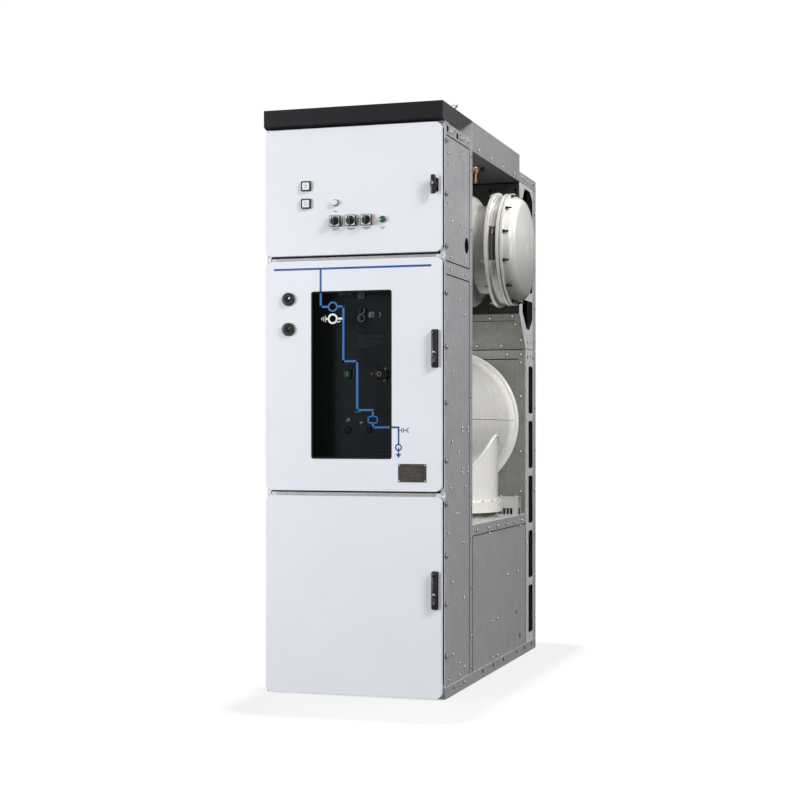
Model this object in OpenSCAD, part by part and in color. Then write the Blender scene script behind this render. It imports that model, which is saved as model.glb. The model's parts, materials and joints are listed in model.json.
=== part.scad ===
// Air-insulated switchgear panel, as one free-standing cubicle.
// Front section with three doors, open middle section with a busbar vessel
// and a breaker vessel, and a rear relief channel.
// Millimetres. +X is the right-hand side, -Y is the front, +Z is up.
// The origin is on the floor, at the middle of the cubicle's footprint.

/* [Cabinet] */
// Width over the side sheets
cab_w = 800; // [780:5:1000]
// Depth from the frame's front face to the rear covers' face
cab_d = 1740; // [1700:5:1900]
// Height of the frame
frame_h = 2420; // [2400:5:2500]
// Thickness of the frame's sheets
sheet = 3; // [2:0.5:4]
// Open seam between neighbouring side sheets
seam = 3; // [2:0.5:5]
// Length of the flanges that the side sheets are bolted to
flange = 24; // [18:1:35]

/* [Base] */
// Height of the base rails
base_h = 47; // [40:1:70]
// Thickness of the base rails
base_sheet = 4; // [3:0.5:6]
// Width of the base rails' flanges
base_flange = 60; // [50:1:80]
// Gap between the long and the cross rails of the base
rail_play = 0.3; // [0.2:0.1:1]
// Diameter of the floor anchor holes
anchor_d = 14; // [10:1:20]
// Distance of the anchor holes from the side faces
anchor_side = 36; // [32:1:42]
// Distance of the anchor holes from the front and rear faces
anchor_end = 90; // [70:5:150]
// Diameter of the cable holes in the floor
cable_hole_d = 120; // [80:5:140]
// Spacing of the cable holes
cable_pitch = 200; // [160:5:220]
// Distance of the cable holes behind the front face
cable_from_front = 700; // [600:10:900]

/* [Front section] */
// Depth of the front compartments
front_d = 445; // [420:5:500]
// Width of the front corner posts' face
corner_w = 40; // [30:1:50]
// Width of the middle posts' side face
middle_post_w = 52; // [40:1:70]
// Height of the frame's rails between the doors
rail_h = 44; // [36:1:60]
// Height above the floor of the band between the side panels
band_z = 1785; // [1760:5:1800]
// Height of that band
band_h = 54; // [45:1:56]
// Height of the band at the top of the sides
top_band_h = 50; // [40:1:60]
// Diameter of the wiring hole in each upper side panel
wiring_hole_d = 70; // [50:5:90]
// Height of the wiring hole
wiring_hole_z = 1938; // [1900:2:2100]
// Distance of the wiring hole's rim from the upper side panel's rear edge
wiring_hole_edge = 8; // [5:0.5:30]

/* [Doors] */
// Height of the lower door
lower_door_h = 845; // [800:5:860]
// Height of the middle door
middle_door_h = 982; // [950:2:1000]
// Gap between two doors, one above the other
door_gap = 22; // [18:1:26]
// Gap under the lower door
floor_gap = 4; // [3:1:20]
// Gap between the upper door and the frame's top
top_gap = 2; // [1:0.5:6]
// Gap between the doors' hinge edge and the left side
hinge_edge_gap = 3; // [2:0.5:6]
// Gap between the doors' latch edge and the right side
latch_edge_gap = 9; // [6:0.5:14]
// Depth of the doors' pans
door_t = 20; // [18:0.5:24]
// Distance of the pans behind their face from the frame
door_stand = 8; // [7:0.5:10]
// Thickness of the doors' sheet
door_sheet = 2; // [1.5:0.5:3]
// Corner radius of the doors
door_r = 28; // [15:1:40]

/* [Hinges] */
// Distance of the hinge pins from the doors' hinge edge
hinge_in = 9; // [8.5:0.1:9.5]
// Distance of the hinge pins ahead of the frame
hinge_ahead = 20; // [19.5:0.1:20.5]
// Diameter of the hinge pins
hinge_pin_d = 6; // [5:0.5:7]
// Radial play of the hinge pins
hinge_play = 0.08; // [0.05:0.01:0.1]
// Outer diameter of the hinge knuckles
knuckle_d = 10; // [9:0.5:11]
// Height of the hinge knuckles
knuckle_h = 40; // [30:1:60]
// Distance of the outer hinges from the doors' ends
hinge_end = 110; // [90:5:150]

/* [Window] */
// Width of the window
window_w = 359; // [300:1:420]
// Height of the window
window_h = 713; // [600:1:760]
// Height of the window's middle above the floor
window_z = 1364; // [1340:1:1390]
// Distance of the window's middle to the left of the cubicle's middle
window_left = 7.5; // [0:0.5:20]
// Corner radius of the window
window_r = 10; // [4:1:20]
// Thickness of the window pane
pane_t = 5; // [3:0.5:8]
// Overlap of the pane behind the door's sheet
pane_lap = 15; // [8:1:25]

/* [Switches] */
// Height of the switch row above the floor
switch_z = 2018; // [2000:1:2100]
// Distance of the first switch to the left of the cubicle's middle
switch_left = 78; // [60:0.5:100]
// Spacing of the switches
switch_pitch = 70.5; // [60:0.5:80]
// Side length of a switch's plate
switch_w = 47; // [40:1:54]
// Thickness of a switch's plate
switch_t = 14; // [8:1:20]
// Diameter of the switches' and buttons' bodies behind the door
device_d = 28; // [20:1:34]
// Depth of those bodies behind the door's face
device_back = 45; // [30:1:60]
// Height of a switch's grip
knob_h = 22; // [15:1:30]
// Diameter of a switch's knob
knob_d = 30; // [24:1:36]
// Diameter of the buttons' collars
collar_d = 30; // [26:1:34]
// Diameter of the buttons
button_d = 24; // [18:1:25]
// Travel of the buttons
button_travel = 4; // [2:0.5:5]
// Height of the white button above the switch row
white_button_rise = 78; // [60:1:90]
// Side length of the indicators
indicator_w = 42; // [36:1:48]
// Distance of the indicators to the left of the cubicle's middle
indicator_left = 210; // [180:1:260]
// Heights of the two indicators above the switch row
indicator_rise = [79, 154];

/* [Handles] */
// Distance of the handles from the doors' latch edge
handle_edge = 28; // [22:1:45]
// Width of the handles' bases
handle_w = 28; // [24:1:34]
// Length of the long handles' bases
handle_h = 160; // [130:5:200]
// Height of the middle door's handle above the floor
middle_handle_z = 1470; // [1300:5:1600]
// Height of the lower door's handle above the floor
lower_handle_z = 459; // [300:5:600]
// Height of the upper door's latch above the floor
latch_z = 2153; // [2050:1:2250]
// Height of the latch's base
latch_h = 56; // [45:1:70]
// Running gap between turning pieces and their bases
turn_gap = 0.4; // [0.3:0.1:0.8]
// Diameter of the handles' spindles
spindle_d = 12; // [8:1:16]

/* [Inspection ports] */
// Diameter of the two round ports in the middle door
port_d = 56; // [40:1:70]
// Distance of the ports from the doors' hinge edge
port_in = 106; // [95:1:125]
// Height of the upper port above the floor
port_z = 1690; // [1600:1:1750]
// Spacing of the ports
port_pitch = 129; // [90:1:200]

/* [Top] */
// Height of the duct and the fascia above the frame
duct_rise = 83; // [60:1:120]
// Distance of the fascia's face ahead of the frame
fascia_ahead = 42; // [34:1:60]
// Height of the fascia's upright face
fascia_face_h = 70; // [50:1:75]
// Distance of the fascia's lower lip ahead of the frame
lip_ahead = 18; // [14:1:26]
// Distance behind the front face where the gussets start to rise
gusset_foot = 60; // [20:5:100]
// Clearance between the fascia and the upper door
fascia_clear = 6; // [5:0.5:10]
// Diameter of the lifting eyes' rod
eye_rod_d = 8; // [6:1:14]
// Width of the lifting eyes over the rod's centre line
eye_w = 60; // [40:2:90]
// Reach of the lifting eyes
eye_reach = 32; // [25:1:60]
// Lean of the lifting eyes away from upright
eye_lean = 62; // [0:1:75]
// Distance of the lifting eyes from the side faces
eye_side = 12; // [10:1:100]
// Distance of the lifting eyes behind the front face
eye_from_front = 150; // [80:5:300]

/* [Middle section] */
// Step of the upper rear wall ahead of the lower one
wall_step = 137; // [100:1:160]
// Height of the joint between the two rear walls
joint_z = 1541; // [1530:1:1560]
// Height of the slanted sheet between the rear walls
slant_h = 169; // [140:1:200]
// Top of the deck above the floor
deck_z = 708; // [690:1:720]
// Height of the deck's side flanges
deck_flange = 49; // [40:1:60]
// Height of the support beams' tube
beam_h = 58; // [40:1:80]
// Depth of the support beams' tube
beam_d = 62; // [40:1:70]
// Gap, across, between the support beams and the cable neck's flange
beam_neck_gap = 16; // [8:1:30]
// Distance of the support beams from the lower rear wall
beam_from_wall = 40; // [20:1:44]
// Distance of the support beams' ends from the side sheets
beam_end_gap = 12; // [2:1:20]
// Clear height under the support beams
beam_rise = 30; // [20:1:40]
// Width of the support beams' feet
beam_foot_w = 30; // [20:1:40]

/* [Rear channel] */
// Depth of the rear channel, from the lower rear wall to the covers' face
channel_d = 233; // [200:1:240]
// Width of the rear columns' flanges
column_flange = 45; // [35:1:60]
// Width of the ventilation slots
slot_w = 93; // [60:1:110]
// Length of the ventilation slots
slot_h = 241; // [200:1:250]
// Spacing of the ventilation slots
slot_pitch = 280; // [260:1:290]
// Middle of the lowest slot above the floor
slot_z = 216; // [190:1:230]
// Corner radius of the slots
slot_r = 13; // [5:1:30]
// Distance of the slots' middle ahead of the rear face
slot_from_rear = 121; // [100:1:130]
// Distance of the hand holes ahead of the rear face
hole_from_rear = 78; // [60:1:90]
// Distance of the hand holes behind the upper rear wall
hole_from_wall = 66; // [50:1:80]
// Distance of the tall hand hole below the top band
hole_from_top = 20; // [15:1:40]
// Height of the low hand hole's lower edge above the joint
hole_rise = 102; // [80:1:120]
// Height of the low hand hole
low_hole_h = 145; // [100:1:160]
// Height of the bar between the two hand holes
hole_bar_h = 43; // [30:1:60]
// Cuts of the tall hole's corners, [depth, height], from its lower front one clockwise
tall_cuts = [[10, 14], [46, 61], [57, 40], [22, 14]];
// Cuts of the low hole's corners, [depth, height], from its lower front one clockwise
low_cuts = [[91, 81], [3, 30], [2, 2], [70, 56]];

/* [Busbar vessel] */
// Height of the busbar vessel's axis
busbar_z = 1976; // [1960:1:1990]
// Distance of its axis behind the front face
busbar_from_front = 900; // [880:1:920]
// Outer radius of its barrel
busbar_r = 265; // [240:1:275]
// Half length of its barrel
busbar_half = 264; // [240:1:290]
// Outer radius of its necks
neck_r = 205; // [180:1:225]
// Wall thickness of the vessels
vessel_wall = 6; // [4:0.5:10]
// Radius of the end flanges
end_flange_r = 268; // [255:1:280]
// Distance of the end flanges outside the side faces
end_flange_out = 2; // [1:0.5:10]
// Thickness of the end flanges
end_flange_t = 17; // [12:1:22]
// Outer radius of the clamp bands between the flanges
clamp_band_r = 252; // [240:1:258]
// Width of the clamp bands
clamp_band_w = 36; // [25:1:45]
// Step of the covers' flange inside the end flanges
cover_step = 6; // [0:1:10]
// Thickness of the covers' flange
cover_flange_t = 32; // [24:1:40]
// Radius of the covers' dish where it meets the flange
dish_r = 244; // [225:1:250]
// Rise of the covers' dish beyond its flange
dish_rise = 61; // [45:1:75]
// Knuckle radius of the covers' dish
dish_knuckle = 42; // [30:1:45]
// Rise of the covers' dish inside its knuckle
dish_crown = 9; // [5:1:14]

/* [Breaker vessel] */
// Height of the breaker vessel's axis
breaker_z = 1172; // [1165:1:1180]
// Outer radius of its barrel
breaker_r = 345; // [320:1:350]
// Radius of its end rims
rim_r = 367; // [355:1:375]
// Length of its end rims
rim_w = 30; // [20:1:45]
// Radius of the rims' rounded edge
rim_round = 9; // [5:1:12]

/* [Connecting neck] */
// Radius of the neck between the two vessels
link_r = 110; // [90:1:140]
// Radius of the neck's flange
link_flange_r = 145; // [141:1:160]
// Thickness of the neck's flange
link_flange_t = 40; // [30:1:60]

/* [Cable neck] */
// Step of the neck under the breaker vessel, inwards from the barrel's radius
neck_inset = 7; // [5:1:40]
// Wall thickness of the neck
neck_wall = 8; // [6:1:12]
// Clear gap between the neck and the breaker vessel's rear rim
neck_rim_gap = 2; // [1:0.5:10]
// Width of the neck's flange around it
neck_rim = 18; // [12:1:20]
// Thickness of the neck's flange
neck_flange_t = 52; // [40:1:60]
// Fitting gap between the cable neck and the breaker vessel that it is welded to
neck_weld_gap = 0.5; // [0.3:0.1:0.8]
// Step of the seal ring under the flange, inwards from the neck's face
seal_step = 1; // [0:1:6]
// Thickness of the seal ring
seal_t = 26; // [8:1:30]
// Radius of the cable sockets under the deck
socket_r = 60; // [45:1:70]
// Length of the cable sockets under the deck
socket_h = 150; // [100:5:200]

/* [Fittings] */
// Distance of the mechanism's front panel behind the frame's face
panel_back = 70; // [60:5:120]
// Distance of the instrument plate ahead of the compartments' back wall
plate_ahead = 30; // [20:5:60]
// Distance of the instrument plate from the compartment's sides
plate_margin = 50; // [30:5:80]
// Distance of the instrument plate's posts from the cubicle's middle
plate_post_x = 200; // [150:5:250]
// Width of those posts
plate_post_w = 30; // [20:1:40]
// Number of mounting rails on the instrument plate
rail_count = 3; // [2:1:4]
// Width of the mounting rails
din_w = 35; // [30:1:40]
// Depth of the mounting rails
din_t = 8; // [7:0.5:15]
// Radius of the gas fitting's pipe
pipe_r = 7; // [5:1:10]
// Length of the gas fitting's pipe
fitting_h = 64; // [50:1:80]
// Distance of the gas fitting's lower end below the top band
fitting_drop = 124; // [110:1:160]
// Width of the gas fitting's nut over its corners
nut_w = 26; // [20:1:30]
// Height of the gas fitting's nut
nut_h = 20; // [14:1:24]
// Distance of the gas fitting behind the compartments' back wall
fitting_back = 103; // [30:1:120]
// Distance of the gas fitting inside the posts
fitting_in = 8; // [8:1:20]

/* [Hidden] */

// How far a cut or an overlap runs past a face
over = 1;

$fn = 96;
fine = 360;
half_w = cab_w / 2;
in_x = half_w - sheet;
back_x = in_x - sheet;
front_y = -cab_d / 2;
function behind(d) = front_y + d;

post_y = behind(front_d);
panel_end = front_d - middle_post_w - seam;
wiring_hole_at = panel_end - wiring_hole_edge - wiring_hole_d / 2;
middle_d = cab_d - front_d - channel_d;
upper_wall = front_d + middle_d - wall_step;
lower_wall = front_d + middle_d;
column_end = cab_d - sheet;
roof_z = frame_h - sheet;
side_top = frame_h - top_band_h;
top_z = frame_h + duct_rise;

lower_door_z = [floor_gap, floor_gap + lower_door_h];
middle_door_z = [lower_door_z[1] + door_gap, lower_door_z[1] + door_gap + middle_door_h];
upper_door_z = [middle_door_z[1] + door_gap, frame_h - top_gap];
lower_rail = lower_door_z[1] + door_gap / 2;
upper_rail = middle_door_z[1] + door_gap / 2;
door_x = [hinge_edge_gap - half_w, half_w - latch_edge_gap];
face_d = -door_stand - door_t;
skin_back = behind(face_d + door_sheet);
face_y = behind(face_d);
pan_back = behind(-door_stand);

pivot_x = door_x[0] + hinge_in;
pivot_y = behind(-hinge_ahead);
arm_left = 1.5;
lug_t = 4;
lug_gap = 0.5;
hinge_count = [2, 3, 2];
notch_over = 5;

switch_x = [for (i = [0:3]) i * switch_pitch - switch_left];
handle_x = door_x[1] - handle_edge;
handle_base_t = 6;
lever_t = 16;
lever_step = 2;
lever_w = handle_w - 2 * lever_step;
lever_round = 8;
base_round = 6;
plate_round = 4;
switch_spindle_r = spindle_d / 4;
device_play = 0.2;
end_play = 2;
lever_end = 14;
button_out = 16;

cable_neck_r = breaker_r - neck_inset;
neck_at = lower_wall - sheet - rim_w - neck_rim_gap - cable_neck_r;
neck_y = behind(neck_at);
neck_flange_r = cable_neck_r + neck_rim;
port_x = door_x[0] + port_in;
socket_x = [-cable_pitch, 0, cable_pitch];

// A block between its [low, high] limits along each axis
module block(x, y, z) {
    translate([x[0], y[0], z[0]])
        cube([x[1] - x[0], y[1] - y[0], z[1] - z[0]]);
}

// A piece and its mirror image on the other side of the cubicle
module both_sides() {
    children();
    mirror([1, 0, 0])
        children();
}

// Outline of a rectangle with round corners, about its middle
module rounded_outline(w, h, r) {
    square([w - 2 * r, h], center = true);
    square([w, h - 2 * r], center = true);
    for (x = [-1, 1], z = [-1, 1])
        translate([x * (w / 2 - r), z * (h / 2 - r)])
            circle(r);
}

// A plate seen from the front, from y0 backwards by t, with round corners
module front_plate(x, z, y0, t, r) {
    translate([x, y0 + t, z])
        rotate([90, 0, 0])
            linear_extrude(t)
                children();
}

// A disc or spindle along Y, from y0 backwards by t
module disc(x, z, y0, t, r) {
    translate([x, y0, z])
        rotate([-90, 0, 0])
            cylinder(r = r, h = t);
}

// A side sheet on the right, from an outline of depth behind the front and height
module side_sheet(x0, t) {
    translate([x0, front_y, 0])
        rotate([90, 0, 90])
            linear_extrude(t)
                children();
}

// Rails of a C profile on the floor, with the anchor holes in the long ones
module base_rail(length) {
    block([0, base_sheet], [0, length], [0, base_h]);
    block([0, base_flange], [0, length], [0, base_sheet]);
    block([0, base_flange], [0, length], [base_h - base_sheet, base_h]);
}

module base_frame() {
    cross_length = cab_w - 2 * (base_flange + rail_play);
    color("silver") {
        both_sides()
            difference() {
                translate([-half_w, front_y, 0])
                    base_rail(cab_d);
                for (y = [-1, 1])
                    translate([anchor_side - half_w, y * (cab_d / 2 - anchor_end), -over])
                        cylinder(d = anchor_d, h = base_sheet + 2 * over);
            }
        for (turn = [0, 180])
            rotate([0, 0, turn])
                translate([cross_length / 2, front_y, 0])
                    rotate([0, 0, 90])
                        base_rail(cross_length);
    }
}

module floor_plate() {
    color("silver")
        difference() {
            block([-back_x, back_x], [behind(2 * sheet), behind(lower_wall - sheet)],
                  [base_h, base_h + sheet]);
            for (i = [-1:1])
                translate([i * cable_pitch, behind(cable_from_front), base_h - over])
                    cylinder(d = cable_hole_d, h = sheet + 2 * over);
        }
}

module corner_posts() {
    color("silver")
        both_sides() {
            block([half_w - corner_w, half_w], [front_y, behind(sheet)], [base_h, roof_z]);
            block([back_x, in_x], [front_y, behind(sheet + flange)], [base_h, roof_z]);
        }
    color("silver")
        both_sides() {
            block([in_x, half_w], [behind(panel_end + seam), post_y], [base_h, side_top]);
            block([back_x, in_x], [behind(panel_end - flange), post_y], [base_h, side_top]);
            block([half_w - corner_w, half_w], [post_y - sheet, post_y], [base_h + sheet, side_top]);
        }
}

module front_rail(z) {
    rail_x = half_w - corner_w;
    block([-rail_x, rail_x], [front_y, behind(sheet)], z);
    block([-rail_x, rail_x], [front_y, behind(flange)], [z[1] - sheet, z[1]]);
}

module front_rails() {
    color("silver") {
        front_rail([base_h, base_h + flange]);
        front_rail([lower_rail - rail_h / 2, lower_rail + rail_h / 2]);
        front_rail([upper_rail - rail_h / 2, upper_rail + rail_h / 2]);
        front_rail([side_top, roof_z]);
    }
}

module side_panels() {
    lower = [base_h + seam, band_z - seam];
    upper = [band_z + band_h + seam, side_top - seam];
    color("silver")
        both_sides() {
            block([in_x, half_w], [behind(sheet), behind(panel_end)], lower);
            difference() {
                block([in_x, half_w], [behind(sheet), behind(panel_end)], upper);
                translate([in_x - over, behind(wiring_hole_at), wiring_hole_z])
                    rotate([0, 90, 0])
                        cylinder(d = wiring_hole_d, h = sheet + 2 * over);
            }
            block([in_x, half_w], [behind(front_d + seam), behind(lower_wall - seam)],
                  [base_h + seam, deck_z - deck_flange - seam]);
        }
}

module side_bands() {
    color("silver")
        both_sides() {
            block([in_x, half_w], [behind(sheet), behind(panel_end)], [band_z, band_z + band_h]);
            block([in_x, half_w], [behind(sheet), post_y], [side_top, roof_z]);
        }
}

module back_wall() {
    color("silver")
        block([corner_w - half_w, half_w - corner_w], [post_y - sheet, post_y],
              [deck_z, side_top]);
}

module compartment_floors() {
    color("silver")
        for (z = [lower_rail, upper_rail])
            block([-back_x, back_x], [behind(sheet), post_y - sheet], [z, z + sheet]);
}

module roof_plates() {
    color("silver") {
        block([-half_w, half_w], [front_y, post_y], [roof_z, frame_h]);
        block([-half_w, half_w], [behind(upper_wall), behind(column_end)], [roof_z, frame_h]);
        both_sides()
            block([in_x, half_w], [behind(upper_wall), behind(column_end)],
                  [side_top + seam, roof_z]);
    }
}

module fascia() {
    face_z = top_z - fascia_face_h;
    low_z = upper_door_z[1] + fascia_clear;
    lip = -lip_ahead;
    gusset = [[-fascia_ahead, face_z], [lip, low_z], [0, low_z], [0, frame_h], [gusset_foot, frame_h],
              [front_d, top_z - sheet], [front_d, top_z], [-fascia_ahead, top_z]];
    front = [[-fascia_ahead, face_z], [lip, low_z], [0, low_z], [0, low_z + sheet],
             [lip, low_z + sheet], [sheet - fascia_ahead, face_z + sheet],
             [sheet - fascia_ahead, top_z - sheet], [front_d, top_z - sheet], [front_d, top_z],
             [-fascia_ahead, top_z]];
    color("dimgray") {
        both_sides()
            side_sheet(in_x, sheet)
                polygon(gusset);
        side_sheet(-half_w, cab_w)
            polygon(front);
    }
}

module lifting_eye() {
    straight = eye_reach - eye_w / 2;
    for (y = [-1, 1])
        translate([0, y * eye_w / 2, -eye_rod_d / 2])
            cylinder(d = eye_rod_d, h = straight + eye_rod_d / 2);
    translate([0, 0, straight])
        rotate([90, 0, 90])
            rotate_extrude(angle = 180)
                translate([eye_w / 2, 0])
                    circle(d = eye_rod_d, $fn = 32);
}

module lifting_eyes() {
    color("gainsboro")
        both_sides()
            difference() {
                translate([half_w - eye_side - eye_rod_d, behind(eye_from_front), top_z])
                    rotate([0, eye_lean, 0])
                        lifting_eye();
                block([0, cab_w], [front_y, 0], [0, top_z]);
            }
}

module top_duct() {
    color("silver")
        difference() {
            block([-half_w, half_w], [post_y, behind(upper_wall)], [side_top, top_z]);
            block([-in_x, in_x], [post_y + sheet, behind(upper_wall - sheet)],
                  [side_top + sheet, top_z - sheet]);
        }
}

module deck_plate() {
    deck_y = [post_y, behind(lower_wall - sheet)];
    color("gainsboro")
        difference() {
            union() {
                block([-in_x, in_x], deck_y, [deck_z - sheet, deck_z]);
                both_sides()
                    block([in_x, half_w], [post_y + seam, behind(lower_wall - seam)],
                          [deck_z - deck_flange, deck_z]);
                both_sides()
                    block([back_x, in_x], deck_y, [deck_z - deck_flange - flange, deck_z]);
            }
            for (x = socket_x)
                translate([x, neck_y, deck_z - sheet - over])
                    cylinder(r = socket_r + sheet, h = sheet + 2 * over);
        }
}

module upper_rear_wall() {
    outline = [[upper_wall, side_top], [upper_wall - sheet, side_top],
               [upper_wall - sheet, joint_z + slant_h], [lower_wall - sheet, joint_z],
               [lower_wall, joint_z], [upper_wall, joint_z + slant_h]];
    color("silver")
        side_sheet(-in_x, 2 * in_x)
            polygon(outline);
}

module lower_rear_wall() {
    color("silver")
        block([-in_x, in_x], [behind(lower_wall - sheet), behind(lower_wall)],
              [base_h, joint_z]);
}

// Outline between its [low, high] limits of depth and height, with cut corners
// from its lower front one clockwise
module cut_outline(d, z, cuts) {
    polygon([[d[0] + cuts[0][0], z[0]], [d[0], z[0] + cuts[0][1]],
             [d[0], z[1] - cuts[1][1]], [d[0] + cuts[1][0], z[1]],
             [d[1] - cuts[2][0], z[1]], [d[1], z[1] - cuts[2][1]],
             [d[1], z[0] + cuts[3][1]], [d[1] - cuts[3][0], z[0]]]);
}

module rear_columns() {
    slot_d = cab_d - slot_from_rear;
    upper = [[upper_wall, side_top], [column_end, side_top], [column_end, joint_z + seam],
             [lower_wall, joint_z + seam], [upper_wall, joint_z + slant_h]];
    hole_d = [upper_wall + hole_from_wall, cab_d - hole_from_rear];
    low_hole = [joint_z + hole_rise, joint_z + hole_rise + low_hole_h];
    tall_hole = [low_hole[1] + hole_bar_h, side_top - hole_from_top];
    color("silver")
        both_sides() {
            side_sheet(in_x, sheet)
                difference() {
                    polygon(upper);
                    cut_outline(hole_d, tall_hole, tall_cuts);
                    cut_outline(hole_d, low_hole, low_cuts);
                }
            block([half_w - column_flange, half_w], [behind(column_end - sheet), behind(column_end)],
                  [joint_z + seam, side_top]);
            side_sheet(in_x, sheet)
                difference() {
                    translate([lower_wall, base_h])
                        square([column_end - lower_wall, joint_z - base_h]);
                    for (i = [0:4])
                        translate([slot_d, slot_z + i * slot_pitch])
                            rounded_outline(slot_w, slot_h, slot_r);
                }
            block([half_w - column_flange, half_w], [behind(column_end - sheet), behind(column_end)],
                  [base_h, joint_z]);
            block([half_w - column_flange, half_w], [behind(lower_wall), behind(lower_wall + sheet)],
                  [base_h, joint_z]);
        }
}

module rear_covers() {
    color("silver")
        for (z = [[base_h, joint_z], [joint_z + seam, frame_h]])
            block([-half_w, half_w], [behind(column_end), behind(cab_d)], z);
}

// Moves a turned piece from the Z axis to the busbar vessel's axis
module along_busbar() {
    translate([0, behind(busbar_from_front), busbar_z])
        rotate([0, 90, 0])
            children();
}

flange_x = half_w + end_flange_out;
flange_end = flange_x + end_flange_t;
shoulder_r = busbar_r - neck_r;

module busbar_vessel() {
    color("ivory")
        along_busbar()
            rotate_extrude()
                difference() {
                    half_profile(0);
                    half_profile(vessel_wall);
                }
}

// Outer profile of the busbar vessel, or its inner one, by the wall's thickness
module half_profile(wall) {
    for (side = [0, 1])
        mirror([0, side])
            difference() {
                union() {
                    square([busbar_r - wall, busbar_half]);
                    square([neck_r - wall, flange_end + wall]);
                    translate([neck_r - wall, busbar_half])
                        intersection() {
                            circle(shoulder_r);
                            square(shoulder_r);
                        }
                    if (wall == 0)
                        translate([0, flange_x])
                            square([end_flange_r, end_flange_t]);
                }
            }
}

module clamp_bands() {
    color("lightsteelblue")
        both_sides()
            along_busbar()
                translate([0, 0, flange_end])
                    difference() {
                        cylinder(r = clamp_band_r, h = clamp_band_w);
                        translate([0, 0, -over])
                            cylinder(r = neck_r, h = clamp_band_w + 2 * over);
                    }
}

module busbar_covers() {
    color("ivory")
        both_sides()
            along_busbar()
                translate([0, 0, flange_end + clamp_band_w])
                    rotate_extrude()
                        difference() {
                            cover_profile(0);
                            cover_profile(vessel_wall);
                        }
}

// Profile of a dished cover with its flange, or of the hollow in it
module cover_profile(wall) {
    crown_r = dish_r - dish_knuckle;
    top = cover_flange_t + dish_rise;
    crown = dish_crown;
    sphere_r = (crown_r * crown_r + crown * crown) / (2 * crown);
    if (wall == 0)
        square([end_flange_r - cover_step, cover_flange_t]);
    square([dish_r - wall, top - crown - dish_knuckle]);
    square([crown_r, top - crown - wall]);
    translate([crown_r, top - crown - dish_knuckle])
        intersection() {
            circle(dish_knuckle - wall);
            square(dish_knuckle);
        }
    intersection() {
        translate([0, top - sphere_r])
            circle(sphere_r - wall, $fn = fine);
        translate([0, top - crown - wall - over])
            square([crown_r, crown + 2 * over]);
    }
}

module breaker_vessel() {
    length = middle_d - sheet;
    color("ivory")
        translate([0, post_y, breaker_z])
            rotate([-90, 0, 0])
                rotate_extrude() {
                    translate([breaker_r - vessel_wall, 0])
                        square([vessel_wall, length]);
                    square([breaker_r, vessel_wall]);
                    translate([0, length - vessel_wall])
                        square([breaker_r, vessel_wall]);
                    for (y = [rim_w / 2, length - rim_w / 2])
                        translate([(rim_r + breaker_r - vessel_wall) / 2, y])
                            rounded_outline(rim_r - breaker_r + vessel_wall, rim_w, rim_round);
                }
}

// The breaker vessel's barrel as a full cylinder, for what ends on it with a fitting gap
module breaker_barrel(gap) {
    translate([0, post_y, breaker_z])
        rotate([-90, 0, 0])
            cylinder(r = breaker_r + gap, h = middle_d - sheet, $fn = fine);
}

// Upright cylinder on the cable neck's axis, from height z upwards
module neck_part(r, z, h) {
    translate([0, neck_y, z])
        cylinder(r = r, h = h, $fn = fine);
}

module cable_neck() {
    flange_z = deck_z + seal_t;
    color("ivory") {
        difference() {
            union() {
                neck_part(cable_neck_r, flange_z, breaker_z - flange_z);
                neck_part(neck_flange_r, flange_z, neck_flange_t);
            }
            neck_part(cable_neck_r - neck_wall, flange_z + neck_flange_t, breaker_z);
            breaker_barrel(neck_weld_gap);
        }
        for (x = socket_x)
            translate([x, neck_y, deck_z - socket_h])
                cylinder(r = socket_r, h = socket_h + seal_t + over);
    }
}

// Neck between the two vessels, with a flange at its middle
module connecting_neck() {
    z = [breaker_z, busbar_z];
    middle = (breaker_z + breaker_r + busbar_z - busbar_r) / 2;
    color("ivory")
        difference() {
            translate([0, behind(busbar_from_front), 0]) {
                translate([0, 0, z[0]])
                    cylinder(r = link_r, h = z[1] - z[0], $fn = fine);
                translate([0, 0, middle - link_flange_t / 2])
                    cylinder(r = link_flange_r, h = link_flange_t);
            }
            breaker_barrel(0);
            translate([-busbar_half, behind(busbar_from_front), busbar_z])
                rotate([0, 90, 0])
                    cylinder(r = busbar_r, h = 2 * busbar_half, $fn = fine);
        }
}

module seal_ring() {
    color("lightsteelblue")
        difference() {
            neck_part(cable_neck_r - seal_step, deck_z, seal_t);
            for (x = socket_x)
                translate([x, neck_y, deck_z - over])
                    cylinder(r = socket_r, h = seal_t + 2 * over);
        }
}

// A short square tube on two feet at each side of the cable neck
module support_beams() {
    beam_end = lower_wall - beam_from_wall;
    ahead = beam_end - beam_d - neck_at;
    flange_x = sqrt(max(0, neck_flange_r * neck_flange_r - ahead * ahead));
    x = [flange_x + beam_neck_gap, in_x - beam_end_gap];
    y = [behind(beam_end - beam_d), behind(beam_end)];
    z = [deck_z + beam_rise, deck_z + beam_rise + beam_h];
    color("gainsboro")
        both_sides() {
            difference() {
                block(x, y, z);
                block([x[0] - over, x[1] + over], [y[0] + sheet, y[1] - sheet],
                      [z[0] + sheet, z[1] - sheet]);
            }
            for (foot = [x[0], x[1] - beam_foot_w])
                block([foot, foot + beam_foot_w], y, [deck_z, z[0]]);
        }
}

module mechanism_panel() {
    edge = 10;
    y0 = behind(panel_back);
    z = [lower_rail + sheet, upper_rail - edge];
    color("darkslategray") {
        block([edge - back_x, back_x - edge], [y0, y0 + sheet], z);
        both_sides()
            block([back_x - edge - sheet, back_x], [y0, y0 + flange], z);
    }
}

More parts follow.
